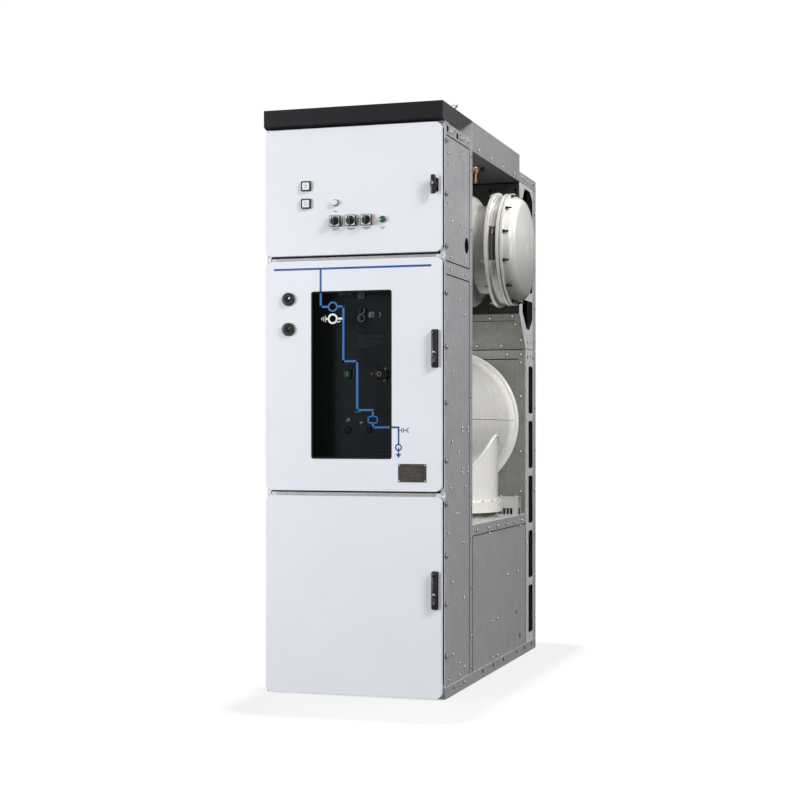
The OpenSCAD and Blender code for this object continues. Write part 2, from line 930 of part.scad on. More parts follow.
module instrument_plate() {
    y0 = post_y - sheet - plate_ahead;
    x = back_x - plate_margin;
    z = [upper_rail + plate_margin, side_top - plate_margin];
    pitch = (z[1] - z[0]) / rail_count;
    color("gainsboro") {
        block([-x, x], [y0, y0 + sheet], z);
        for (side = [-1, 1])
            translate([side * plate_post_x, 0, 0])
                block([-plate_post_w / 2, plate_post_w / 2], [y0, y0 + plate_ahead], z);
        for (i = [0:rail_count - 1])
            translate([0, 0, z[0] + (i + 0.5) * pitch])
                block([plate_margin - x, x - plate_margin], [y0 - din_t, y0], [-din_w / 2, din_w / 2]);
    }
}

module gas_fitting() {
    x = back_x - fitting_in;
    y = post_y + fitting_back;
    z = side_top - fitting_drop;
    nut_z = z + fitting_h - nut_h - over;
    color("sienna") {
        translate([x, y, z])
            cylinder(r = pipe_r, h = fitting_h);
        translate([x, y, nut_z])
            cylinder(d = nut_w, h = nut_h, $fn = 6);
        translate([x, post_y, nut_z + nut_h / 2])
            rotate([-90, 0, 0])
                cylinder(r = pipe_r, h = fitting_back);
    }
}

// Middle heights of a door's hinges, from its z limits and their number
function hinge_heights(z, count) =
    [for (i = [0:count - 1]) z[0] + hinge_end + i * (z[1] - z[0] - 2 * hinge_end) / (count - 1)];
door_hinges = [hinge_heights(lower_door_z, hinge_count[0]),
               hinge_heights(middle_door_z, hinge_count[1]),
               hinge_heights(upper_door_z, hinge_count[2])];

module hinge_arms() {
    arm_x = [pivot_x - arm_left, pivot_x + knuckle_d / 2];
    color("dimgray")
        for (door = door_hinges, z = door)
            difference() {
                union() {
                    translate([pivot_x, pivot_y, z - knuckle_h / 2])
                        cylinder(d = knuckle_d, h = knuckle_h);
                    block(arm_x, [pivot_y, front_y], [z - knuckle_h / 2, z + knuckle_h / 2]);
                    block([arm_x[0], corner_w - half_w], [front_y - sheet, front_y],
                          [z - knuckle_h / 2, z + knuckle_h / 2]);
                }
                translate([pivot_x, pivot_y, z - knuckle_h])
                    cylinder(d = hinge_pin_d + 2 * hinge_play, h = 2 * knuckle_h);
            }
}

// A door pan between its z limits, with its hinge lugs and pins
module door_pan(z, hinges) {
    w = door_x[1] - door_x[0];
    h = z[1] - z[0];
    mid_x = (door_x[0] + door_x[1]) / 2;
    mid_z = (z[0] + z[1]) / 2;
    lug_z = knuckle_h / 2 + lug_gap;
    difference() {
        front_plate(mid_x, mid_z, face_y, door_t)
            rounded_outline(w, h, door_r);
        front_plate(mid_x, mid_z, skin_back, door_t)
            rounded_outline(w - 2 * door_sheet, h - 2 * door_sheet, door_r - door_sheet);
        for (at = hinges)
            block([door_x[0] - over, door_x[0] + door_sheet + over], [skin_back, pan_back + over],
                  [at - knuckle_h / 2 - notch_over, at + knuckle_h / 2 + notch_over]);
    }
    for (at = hinges) {
        for (low = [at - lug_z - lug_t, at + lug_z])
            block([door_x[0] + door_sheet, pivot_x + knuckle_d / 2],
                  [skin_back, pivot_y + knuckle_d / 2], [low, low + lug_t]);
        translate([pivot_x, pivot_y, at - lug_z - lug_t])
            cylinder(d = hinge_pin_d, h = 2 * (lug_z + lug_t));
    }
}

// A round hole through a door's face
module through(x, z, r) {
    disc(x, z, face_y - over, door_sheet + 2 * over, r);
}

module upper_door() {
    color("whitesmoke")
        difference() {
            door_pan(upper_door_z, door_hinges[2]);
            for (x = switch_x)
                through(x, switch_z, device_d / 2);
            through(switch_x[0], switch_z + white_button_rise, device_d / 2);
            for (rise = indicator_rise)
                through(-indicator_left, switch_z + rise, device_d / 2);
            through(handle_x, latch_z, spindle_d / 2 + turn_gap);
        }
}

module middle_door() {
    color("whitesmoke")
        difference() {
            door_pan(middle_door_z, door_hinges[1]);
            front_plate(-window_left, window_z, face_y - over, door_sheet + 2 * over)
                rounded_outline(window_w, window_h, window_r);
            for (i = [0, 1])
                through(port_x, port_z - i * port_pitch, device_d / 2);
            through(handle_x, middle_handle_z + handle_h / 2 - lever_end, spindle_d / 2 + turn_gap);
        }
}

module lower_door() {
    color("whitesmoke")
        difference() {
            door_pan(lower_door_z, door_hinges[0]);
            through(handle_x, lower_handle_z + handle_h / 2 - lever_end, spindle_d / 2 + turn_gap);
        }
}

module window_pane() {
    color("dimgray", 0.5)
        front_plate(-window_left, window_z, skin_back, pane_t)
            rounded_outline(window_w + 2 * pane_lap, window_h + 2 * pane_lap, window_r);
}

// A device's round body behind the door, from its face
module device_body(x, z) {
    disc(x, z, face_y, device_back, device_d / 2 - device_play);
}

module door_switches() {
    indicator_t = 8;
    color("black") {
        for (x = [switch_x[0], switch_x[1], switch_x[2]])
            difference() {
                union() {
                    front_plate(x, switch_z, face_y - switch_t, switch_t)
                        rounded_outline(switch_w, switch_w, plate_round);
                    device_body(x, switch_z);
                }
                disc(x, switch_z, face_y - switch_t - over, switch_t, switch_spindle_r + turn_gap);
            }
        for (rise = indicator_rise) {
            front_plate(-indicator_left, switch_z + rise, face_y - indicator_t, indicator_t)
                rounded_outline(indicator_w, indicator_w, plate_round);
            device_body(-indicator_left, switch_z + rise);
        }
        for (at = [[switch_x[3], switch_z], [switch_x[0], switch_z + white_button_rise]])
            difference() {
                union() {
                    disc(at[0], at[1], face_y - button_out / 2, button_out / 2, collar_d / 2);
                    device_body(at[0], at[1]);
                }
                disc(at[0], at[1], face_y - button_out, button_out + device_back / 2,
                     button_d / 2 + turn_gap);
            }
    }
}

module inspection_ports() {
    port_t = 10;
    color("black")
        for (i = [0, 1]) {
            z = port_z - i * port_pitch;
            disc(port_x, z, face_y - port_t, port_t, port_d / 2);
            device_body(port_x, z);
        }
}

module selector(x) {
    top = face_y - switch_t - turn_gap;
    grip_w = 11;
    plate_t = knob_h / 3;
    color("black") {
        disc(x, switch_z, top - plate_t, plate_t, knob_d / 2);
        block([x - grip_w / 2, x + grip_w / 2], [top - knob_h, top],
              [switch_z - knob_d / 2, switch_z + knob_d / 2]);
        disc(x, switch_z, top, switch_t - end_play, switch_spindle_r);
    }
}

module left_selector() {
    selector(switch_x[0]);
}

module middle_selector() {
    selector(switch_x[1]);
}

module right_selector() {
    selector(switch_x[2]);
}

// A button that runs in its collar, with room behind it for its travel
module button(x, z) {
    disc(x, z, face_y - button_out, button_out + device_back / 2 - button_travel - end_play, button_d / 2);
}

module white_button() {
    color("white")
        button(switch_x[0], switch_z + white_button_rise);
}

module green_button() {
    color("darkgreen")
        button(switch_x[3], switch_z);
}

module latch_base() {
    color("black")
        difference() {
            front_plate(handle_x, latch_z, face_y - handle_base_t, handle_base_t)
                rounded_outline(handle_w, latch_h, base_round);
            disc(handle_x, latch_z, face_y - handle_base_t - over, handle_base_t + 2 * over,
                 spindle_d / 2 + turn_gap);
        }
}

module latch_lever() {
    wing_w = 22;
    wing_h = 80;
    wing_t = 30;
    wing_round = 10;
    spindle_out = 14;
    top = face_y - handle_base_t - turn_gap;
    color("black") {
        front_plate(handle_x, latch_z, top - wing_t, wing_t)
            rounded_outline(wing_w, wing_h, wing_round);
        disc(handle_x, latch_z, top, handle_base_t + spindle_out, spindle_d / 2);
    }
}

// Base of a long handle, with the hole for its spindle near its top
module handle_base(z) {
    color("black")
        difference() {
            front_plate(handle_x, z, face_y - handle_base_t, handle_base_t)
                rounded_outline(handle_w, handle_h, base_round);
            disc(handle_x, z + handle_h / 2 - lever_end, face_y - handle_base_t - over,
                 handle_base_t + 2 * over, spindle_d / 2 + turn_gap);
        }
}

// Long lever that turns about its upper end, with its spindle and cam
module handle_lever(z) {
    top = face_y - handle_base_t - turn_gap;
    pivot_z = z + handle_h / 2 - lever_end;
    cam_y = skin_back + 4;
    cam_t = 3;
    cam_reach = 34;
    color("black") {
        front_plate(handle_x, z, top - lever_t, lever_t)
            rounded_outline(lever_w, handle_h - 2 * lever_step, lever_round);
        disc(handle_x, pivot_z, top, cam_y + cam_t - top, spindle_d / 2);
        block([handle_x - spindle_d / 2, handle_x + spindle_d / 2], [cam_y, cam_y + cam_t],
              [pivot_z - cam_reach, pivot_z]);
    }
}

module middle_handle_base() {
    handle_base(middle_handle_z);
}

module middle_handle_lever() {
    handle_lever(middle_handle_z);
}

module lower_handle_base() {
    handle_base(lower_handle_z);
}

module lower_handle_lever() {
    handle_lever(lower_handle_z);
}

base_frame();
floor_plate();
corner_posts();
front_rails();
side_panels();
side_bands();
back_wall();
compartment_floors();
roof_plates();
fascia();
lifting_eyes();
top_duct();
deck_plate();
upper_rear_wall();
lower_rear_wall();
rear_columns();
rear_covers();
busbar_vessel();
clamp_bands();
busbar_covers();
breaker_vessel();
connecting_neck();
cable_neck();
seal_ring();
support_beams();
mechanism_panel();
instrument_plate();
gas_fitting();
hinge_arms();
upper_door();
middle_door();
lower_door();
window_pane();
door_switches();
inspection_ports();
left_selector();
middle_selector();
right_selector();
white_button();
green_button();
latch_base();
latch_lever();
middle_handle_base();
middle_handle_lever();
lower_handle_base();
lower_handle_lever();
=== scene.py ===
import json
from math import cos, pi, radians, sin, sqrt

import bmesh
import bpy
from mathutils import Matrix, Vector


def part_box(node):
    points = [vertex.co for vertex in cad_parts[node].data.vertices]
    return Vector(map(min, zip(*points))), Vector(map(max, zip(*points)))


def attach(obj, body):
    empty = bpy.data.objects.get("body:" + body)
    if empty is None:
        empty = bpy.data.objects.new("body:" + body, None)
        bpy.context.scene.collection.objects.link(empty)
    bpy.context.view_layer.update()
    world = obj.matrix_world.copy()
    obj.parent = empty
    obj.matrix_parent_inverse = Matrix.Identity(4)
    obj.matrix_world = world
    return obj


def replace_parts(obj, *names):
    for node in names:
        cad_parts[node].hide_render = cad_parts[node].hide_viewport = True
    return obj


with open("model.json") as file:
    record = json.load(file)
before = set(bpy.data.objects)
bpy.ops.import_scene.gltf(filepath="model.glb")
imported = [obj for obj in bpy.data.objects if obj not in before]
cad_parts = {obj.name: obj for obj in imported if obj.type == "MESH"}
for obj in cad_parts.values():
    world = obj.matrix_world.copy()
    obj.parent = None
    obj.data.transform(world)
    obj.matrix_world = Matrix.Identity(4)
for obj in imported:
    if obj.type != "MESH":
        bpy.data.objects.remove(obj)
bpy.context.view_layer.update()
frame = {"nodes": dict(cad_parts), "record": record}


# ---- where things are, in millimetres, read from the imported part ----
def low(name):
    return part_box(name)[0] * 1000


def high(name):
    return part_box(name)[1] * 1000


def middle(name):
    return (low(name) + high(name)) / 2


FRONT = low("corner_posts").y
SIDE = high("side_panels").x
FACE = low("upper_door").y - FRONT
GLASS = low("window_pane").y - FRONT
PANEL = low("mechanism_panel").y - FRONT
POST = high("corner_posts").y - FRONT
UPPER_WALL = high("top_duct").y - FRONT
LOWER_WALL = high("lower_rear_wall").y - FRONT
REAR = high("rear_covers").y - FRONT
FRAME_TOP = high("roof_plates").z
TOP = high("top_duct").z
DUCT_LOW = low("top_duct").z
DECK = high("deck_plate").z
JOINT = high("lower_rear_wall").z
BAND_LOW = low("side_bands").z
BAND_HIGH = BAND_LOW + 54
TOP_BAND = FRAME_TOP - 50
BUS = middle("busbar_vessel")
BUS_D = BUS.y - FRONT
BREAKER = middle("breaker_vessel")
# the barrels' own radii, without their rims, and the wiring holes' places (d, z) in the side panels
BUS_R = 265
BREAKER_R = 345
WIRING_HOLE = (347, 1938)
SIDES = ((1, "right", "x"), (-1, "left", "-x"))


def at(x, d, z):
    """A point x to the right, d behind the frame's front face and z up, in millimetres."""
    return Vector((x, FRONT + d, z))


def span(side, a, b):
    """From a to b on the right side (1), or mirrored on the left side (-1)."""
    return sorted((side * a, side * b))


def row(a, b, n):
    """n places from a to b."""
    return [a + (b - a) * i / (n - 1) for i in range(n)]


def turns(n, start=0.0):
    """n angles round a full turn."""
    return [2 * pi * i / n + start for i in range(n)]


def circle(r, d, z, n=120, x=0.0):
    """n points round an upright axis at (x, d)."""
    return [at(x + r * cos(a), d + r * sin(a), z) for a in turns(n)]


def bus_point(x, r, a):
    """A point r away from the busbar vessel's axis, at angle a and x to the right."""
    return at(x, BUS_D + r * cos(a), BUS.z + r * sin(a))


def rounded(w, h, r):
    """Outline of a rectangle with round corners about its middle."""
    out = []
    for cx, cz, start in ((w / 2 - r, h / 2 - r, 0), (r - w / 2, h / 2 - r, 90),
                          (r - w / 2, r - h / 2, 180), (w / 2 - r, r - h / 2, 270)):
        out += [(cx + r * cos(a), cz + r * sin(a)) for a in row(radians(start), radians(start + 90), 7)]
    return out


# ---- materials ----
def feed(tree, target, inputs):
    """Gives each named input of a node its value, or joins it to another node's output."""
    for key, value in inputs.items():
        if isinstance(value, bpy.types.NodeSocket):
            tree.links.new(value, target.inputs[key])
        else:
            target.inputs[key].default_value = value


def node(tree, kind, inputs, output=0, **settings):
    """Adds a shader node and gives back one of its outputs."""
    made = tree.nodes.new("ShaderNode" + kind)
    for key, value in settings.items():
        setattr(made, key, value)
    feed(tree, made, inputs)
    return made.outputs[output]


def ramp(tree, value, *limits):
    """Maps a value from between the first two limits to between the last two."""
    inputs = dict(zip(("From Min", "From Max", "To Min", "To Max"), limits))
    return node(tree, "MapRange", {"Value": value, **inputs})


def show_mix(tree, share, first, second, output="Material Output"):
    """Shows a mix of two shaders."""
    mixed = node(tree, "MixShader", {"Fac": share, 1: first, 2: second})
    feed(tree, tree.nodes[output], {"Surface": mixed})


def new_material(name):
    made = bpy.data.materials.new(name)
    made.use_nodes = True
    return made, made.node_tree


def material(name, colour, rough, metallic=0.0, mottle=0.05, grain=14.0, spangle=0.0, bump=0.03,
             bump_scale=700.0, coat=0.0, edge=0.0, streak=0.0, fade=None, along="Z", specular=0.5):
    """A procedural finish.

    Its colour varies with a cloudy noise, crystals and streaks, and it can fade along an axis between
    two places in metres, as in ramp(). Edge is the radius, in metres, that rounds the corners.
    """
    made, tree = new_material(name)
    here = node(tree, "TexCoord", {}, "Object")

    def noise(scale, detail, stretch=None):
        source = node(tree, "Mapping", {"Vector": here, "Scale": stretch}) if stretch else here
        return node(tree, "TexNoise", {"Vector": source, "Scale": scale, "Detail": detail})

    def spread(source, amount, centre=1.0):
        return ramp(tree, source, 0.3, 0.7, centre - amount, centre + amount)

    def times(a, b):
        return node(tree, "Math", {0: a, 1: b}, operation="MULTIPLY")

    value = spread(noise(grain, 5), mottle)
    if spangle:
        cells = node(tree, "TexVoronoi", {"Vector": here, "Scale": 95, "Randomness": 1}, "Color")
        value = times(value, spread(node(tree, "SeparateColor", {"Color": cells}), spangle))
        value = times(value, spread(noise(420, 3), spangle))
    if streak:
        value = times(value, spread(noise(6, 4, (9, 9, 0.7)), streak))
    if fade:
        value = times(value, ramp(tree, node(tree, "SeparateXYZ", {"Vector": here}, along), *fade))
    shader = tree.nodes["Principled BSDF"]
    feed(tree, shader, {"Base Color": (*colour, 1), "Metallic": metallic, "Roughness": rough,
                        "Specular IOR Level": specular, "Coat Weight": coat, "Coat Roughness": 0.08})
    relief = {"Strength": bump, "Distance": 0.001, "Height": noise(bump_scale, 2)}
    if edge:
        relief["Normal"] = node(tree, "Bevel", {"Radius": edge}, samples=4)
    tint = node(tree, "VectorMath", {0: colour, "Scale": value}, operation="SCALE")
    feed(tree, shader, {"Base Color": tint, "Normal": node(tree, "Bump", relief),
                        "Roughness": spread(noise(grain * 2.3, 4), min(0.07, rough * 0.3), rough)})
    return made


def window_glass():
    """Clear glass with a weak reflection."""
    made, tree = new_material("window_glass")
    tree.nodes.remove(tree.nodes["Principled BSDF"])
    clear = node(tree, "BsdfTransparent", {"Color": (0.7, 0.73, 0.74, 1)})
    gloss = node(tree, "BsdfGlossy", {"Roughness": 0.04, "Color": (0.9, 0.95, 1, 1)})
    show_mix(tree, node(tree, "Fresnel", {"IOR": 1.25}), clear, gloss)
    return made


# what several finishes share, and where the columns' rear edge bends
SHEET = {"bump": 0.08, "bump_scale": 520, "edge": 0.0012}
VESSEL = {"mottle": 0.02, "grain": 7, "bump_scale": 420, "coat": 0.6, "edge": 0.002}
CREAM = (0.9, 0.885, 0.84)
COLUMN_BEND = REAR + FRONT - 70

ZINC = material("galvanised", (0.44, 0.44, 0.455), 0.5, metallic=0.35, spangle=0.045, streak=0.03, **SHEET)
# lighter galvanised for the deck's top and front and the support beams: painted light where they face the
# lamps
ZINC_BRIGHT = material("galvanised_deck_painted_light", (0.62, 0.62, 0.61), 0.42, metallic=0.4, spangle=0.04, edge=0.0012)
# darker galvanised with a warm tint for the rear walls and the slanted sheet: painted shade, with painted
# warm light bounced off the cream vessels
ZINC_BOUNCE_SHADE = material("galvanised_walls_painted_shade", (0.28, 0.28, 0.26), 0.55, metallic=0.3, spangle=0.05, streak=0.05,
                     **SHEET)
# darker galvanised for the duct's underside: painted shade on the ceiling
ZINC_SHADE = material("galvanised_ceiling_painted_shade", (0.17, 0.17, 0.165), 0.6, metallic=0.3, spangle=0.05,
                      streak=0.05)
# lighter galvanised for the front faces of the posts and the duct, the lifting eyes and the lips: painted
# light and highlights
ZINC_LIT = material("galvanised_painted_highlight", (0.7, 0.7, 0.73), 0.5, metallic=0.1, spangle=0.03)
# near-black for the upper rear wall: painted shade
WALL_SHADE = material("upper_wall_painted_shade", (0.024, 0.024, 0.023), 0.65, spangle=0.05, streak=0.06,
                      specular=0.2)
# a little darker galvanised for the duct: painted shade
ZINC_DUCT = material("galvanised_duct_painted_shade", (0.375, 0.375, 0.385), 0.5, metallic=0.35, spangle=0.045)
# lighter galvanised for the rear columns' outer sides, darker behind their rear bend: painted light and
# painted shade
ZINC_COLUMN = material("galvanised_columns_painted_light_and_shade", (0.7, 0.7, 0.7), 0.42, metallic=0.25, spangle=0.04,
                       fade=((COLUMN_BEND - 3) / 1000, (COLUMN_BEND + 3) / 1000, 1.0, 0.66), along="Y",
                       edge=0.0012)
# near-black for the insides of the rear channels and slots: painted shade
CHANNEL_SHADE = material("channel_painted_shade", (0.004, 0.004, 0.004), 0.9, specular=0.03)
# galvanised for the side panels' inner faces near the doors, near-black above 0.85 m: painted shade behind
# the middle door
SIDE_WALL_SHADE = material("compartment_painted_shade", (0.4, 0.4, 0.41), 0.6, metallic=0.2, spangle=0.045,
                  fade=(0.835, 0.865, 1.0, 0.015), specular=0.3)
WHITE = material("door_paint", (0.8, 0.82, 0.885), 0.38, mottle=0.012, grain=5, bump=0.05,
                 bump_scale=900, coat=0.15, edge=0.003)
BLACK_PAINT = material("fascia_paint", (0.011, 0.0105, 0.0135), 0.46, mottle=0.02, grain=3, bump=0.01,
                       edge=0.0015, specular=0.2)
# a lighter copy of the fascia's black paint, for its sides and underside: painted light
BLACK_PAINT_LIT = material("gusset_black_paint_painted_light", (0.04, 0.039, 0.044), 0.5, mottle=0.06, edge=0.001)
ENAMEL = material("vessel_enamel", CREAM, 0.22, **VESSEL)
# vessel enamel darker towards the bottom, from 2.06 m down to 1.76 m: painted shade under the busbar vessel
# and its covers
ENAMEL_SHADE = material("vessel_enamel_painted_shade", CREAM, 0.22, fade=(1.76, 2.06, 0.3, 1.0), **VESSEL)
POLISHED = material("turned_metal", (0.62, 0.6, 0.55), 0.17, metallic=1.0, mottle=0.06, grain=30,
                    bump=0.05, bump_scale=900, edge=0.001)
# a dark finish for a strip on the polished clamp bands: painted reflection
BAND_REFLECTION = material("band_painted_reflection", (0.085, 0.08, 0.072), 0.4, metallic=0.3, mottle=0.1, grain=30)
BAND = material("band_metal", (0.74, 0.73, 0.7), 0.34, metallic=0.45, mottle=0.04, grain=30, edge=0.001)
ROD = material("zinc_rod", (0.74, 0.74, 0.72), 0.3, metallic=0.7)
DARK_PANEL = material("drive_panel", (0.019, 0.021, 0.022), 0.42, mottle=0.1, grain=9, edge=0.001)
PLATE = material("instrument_plate", (0.5, 0.5, 0.5), 0.45, metallic=0.4, spangle=0.04)
COPPER = material("copper", (0.72, 0.3, 0.16), 0.28, metallic=0.9, mottle=0.15, grain=60)
STEEL = material("hinge_steel", (0.33, 0.33, 0.34), 0.4, metallic=0.8)
BLACK = material("black_plastic", (0.012, 0.012, 0.014), 0.33, mottle=0.08, bump=0.08, bump_scale=1500,
                 edge=0.001)
RUBBER = material("rubber", (0.006, 0.006, 0.007), 0.6, specular=0.2)
WHITE_PLASTIC = material("white_plastic", (0.82, 0.83, 0.84), 0.25, mottle=0.01, edge=0.001)
GREEN = material("green_lens", (0.006, 0.13, 0.035), 0.16, mottle=0.15, grain=200, coat=0.6)
BOLT = material("bolt_zinc", (0.66, 0.66, 0.65), 0.33, metallic=0.6, mottle=0.15, grain=70)
# near-black for bolt faces and washers: painted shade and shadow on the bolts
BOLT_SHADE = material("bolt_painted_shade", (0.01, 0.01, 0.011), 0.6, mottle=0.15, grain=70, specular=0.12)
# a lighter bolt finish: painted highlight on the bolts
BOLT_HIGHLIGHT = material("bolt_painted_highlight", (0.86, 0.86, 0.86), 0.4, metallic=0.2, grain=70)
BOLT_BLACK = material("bolt_black", (0.018, 0.018, 0.02), 0.4, metallic=0.3)
# near-black for holes, grooves, joints and hollows: painted shade; also for black caps
SHADE_BLACK = material("shade_black", (0.003, 0.003, 0.003), 0.9, specular=0.03)
BLUE = material("mimic_blue", (0.012, 0.145, 0.44), 0.35, mottle=0.03)
BLUE_DARK = material("mimic_blue_door", (0.01, 0.085, 0.3), 0.35, mottle=0.03)
MARK_WHITE = material("mark_white", (0.85, 0.85, 0.85), 0.4, mottle=0.02)
MARK_SOFT = material("mark_soft", (0.42, 0.42, 0.43), 0.4, mottle=0.02)
MARK_GREY = material("mark_grey", (0.13, 0.13, 0.135), 0.5)
MARK_DIM = material("mark_dim", (0.045, 0.047, 0.05), 0.5)
MARK_DARK = material("mark_dark", (0.08, 0.08, 0.085), 0.5)
GREEN_FLAG = material("green_flag", (0.006, 0.16, 0.07), 0.4)
RED_FLAG = material("red_flag", (0.2, 0.012, 0.014), 0.4)
BRONZE = material("nameplate_bronze", (0.055, 0.043, 0.033), 0.42, metallic=0.45, mottle=0.3, grain=55,
                  bump=0.15)
GREY_PLASTIC = material("device_grey", (0.3, 0.31, 0.32), 0.45)
BEIGE_PLASTIC = material("terminal_beige", (0.45, 0.42, 0.34), 0.45)
WIRE = material("wire_black", (0.02, 0.02, 0.022), 0.45)
WIRE_BLUE = material("wire_blue", (0.03, 0.07, 0.28), 0.45)
EARTH = material("wire_earth", (0.25, 0.42, 0.04), 0.45, mottle=0.3, grain=120)

# the finish of each material slot, and the nodes that look different from their slot
PAINT = {"galvanised_sheet": ZINC, "white_paint": WHITE, "black_paint": BLACK_PAINT,
         "vessel_paint": ENAMEL, "bare_metal": POLISHED, "zinc_rod": ROD, "dark_panel": DARK_PANEL,
         "instrument_steel": PLATE, "copper_pipe": COPPER, "hinge_steel": STEEL,
         "window_glass": window_glass(), "black_plastic": BLACK, "white_plastic": WHITE_PLASTIC,
         "green_plastic": GREEN}
# apart from the clamp bands' metal, these repaints are lighter or darker copies of their slot's finish:
# painted light and shade
REPAINTED = {"upper_rear_wall": WALL_SHADE, "lower_rear_wall": ZINC_BOUNCE_SHADE, "top_duct": ZINC_DUCT,
             "clamp_bands": BAND, "lifting_eyes": ZINC_LIT, "busbar_vessel": ENAMEL_SHADE,
             "busbar_covers": ENAMEL_SHADE, "deck_plate": ZINC_BRIGHT, "support_beams": ZINC_BRIGHT}
for part in frame["record"]["subparts"]:
    name = part["node"]
    mesh = frame["nodes"][name].data
    mesh.materials.clear()
    mesh.materials.append(REPAINTED.get(name, PAINT[part["material_slot"]]))


def paint_faces(name, finish, chosen):
    """Gives some of a CAD node's faces another finish, chosen by their normal and centre."""
    mesh = frame["nodes"][name].data
    mesh.materials.append(finish)
    index = len(mesh.materials) - 1
    for face in mesh.polygons:
        if chosen(face.normal, face.center * 1000):
            face.material_index = index


def inward(n, c):
    """True for a side's face that looks to the middle."""
    return n.x * c.x < 0 and abs(n.x) > 0.5


# lighter and darker copies of the finishes on chosen faces are painted light and shade: the fascia's lit
# sides, the dark channels and slots, the walls' and ceiling's shade, the lit column sides and front faces
paint_faces("fascia", BLACK_PAINT_LIT, lambda n, c: abs(n.x) > 0.5 or (n.z < -0.5 and c.y > FRONT))
paint_faces("rear_covers", CHANNEL_SHADE, lambda n, c: n.y < -0.5)
paint_faces("lower_rear_wall", CHANNEL_SHADE, lambda n, c: n.y > 0.5)
paint_faces("deck_plate", ZINC, lambda n, c: abs(n.x) > 0.5)
paint_faces("back_wall", ZINC_BOUNCE_SHADE, lambda n, c: n.y > 0.5)
paint_faces("upper_rear_wall", ZINC_BOUNCE_SHADE, lambda n, c: abs(n.z) > 0.3)
paint_faces("rear_columns", CHANNEL_SHADE, inward)
paint_faces("rear_columns", CHANNEL_SHADE,
            lambda n, c: abs(n.y) > 0.5 and FRONT + LOWER_WALL + 5 < c.y < -FRONT - 6)
paint_faces("rear_columns", ZINC_COLUMN, lambda n, c: n.x * c.x > 0 and abs(n.x) > 0.5)
paint_faces("corner_posts", ZINC_LIT, lambda n, c: n.y < -0.5 and c.y < FRONT + 1)
paint_faces("side_panels", SIDE_WALL_SHADE,
            lambda n, c: inward(n, c) and c.y < FRONT + POST and c.z < BAND_LOW)
paint_faces("top_duct", ZINC_SHADE, lambda n, c: n.z < -0.5)
paint_faces("top_duct", ZINC_LIT, lambda n, c: n.y < -0.5)

# ---- building pieces ----
AXES = {"x": Vector((1, 0, 0)), "-x": Vector((-1, 0, 0)), "y": Vector((0, 1, 0)), "-y": Vector((0, -1, 0)),
        "z": Vector((0, 0, 1)), "-z": Vector((0, 0, -1))}
BOX_FACES = ((0, 2, 3, 1), (4, 5, 7, 6), (0, 1, 5, 4), (2, 6, 7, 3), (0, 4, 6, 2), (1, 3, 7, 5))


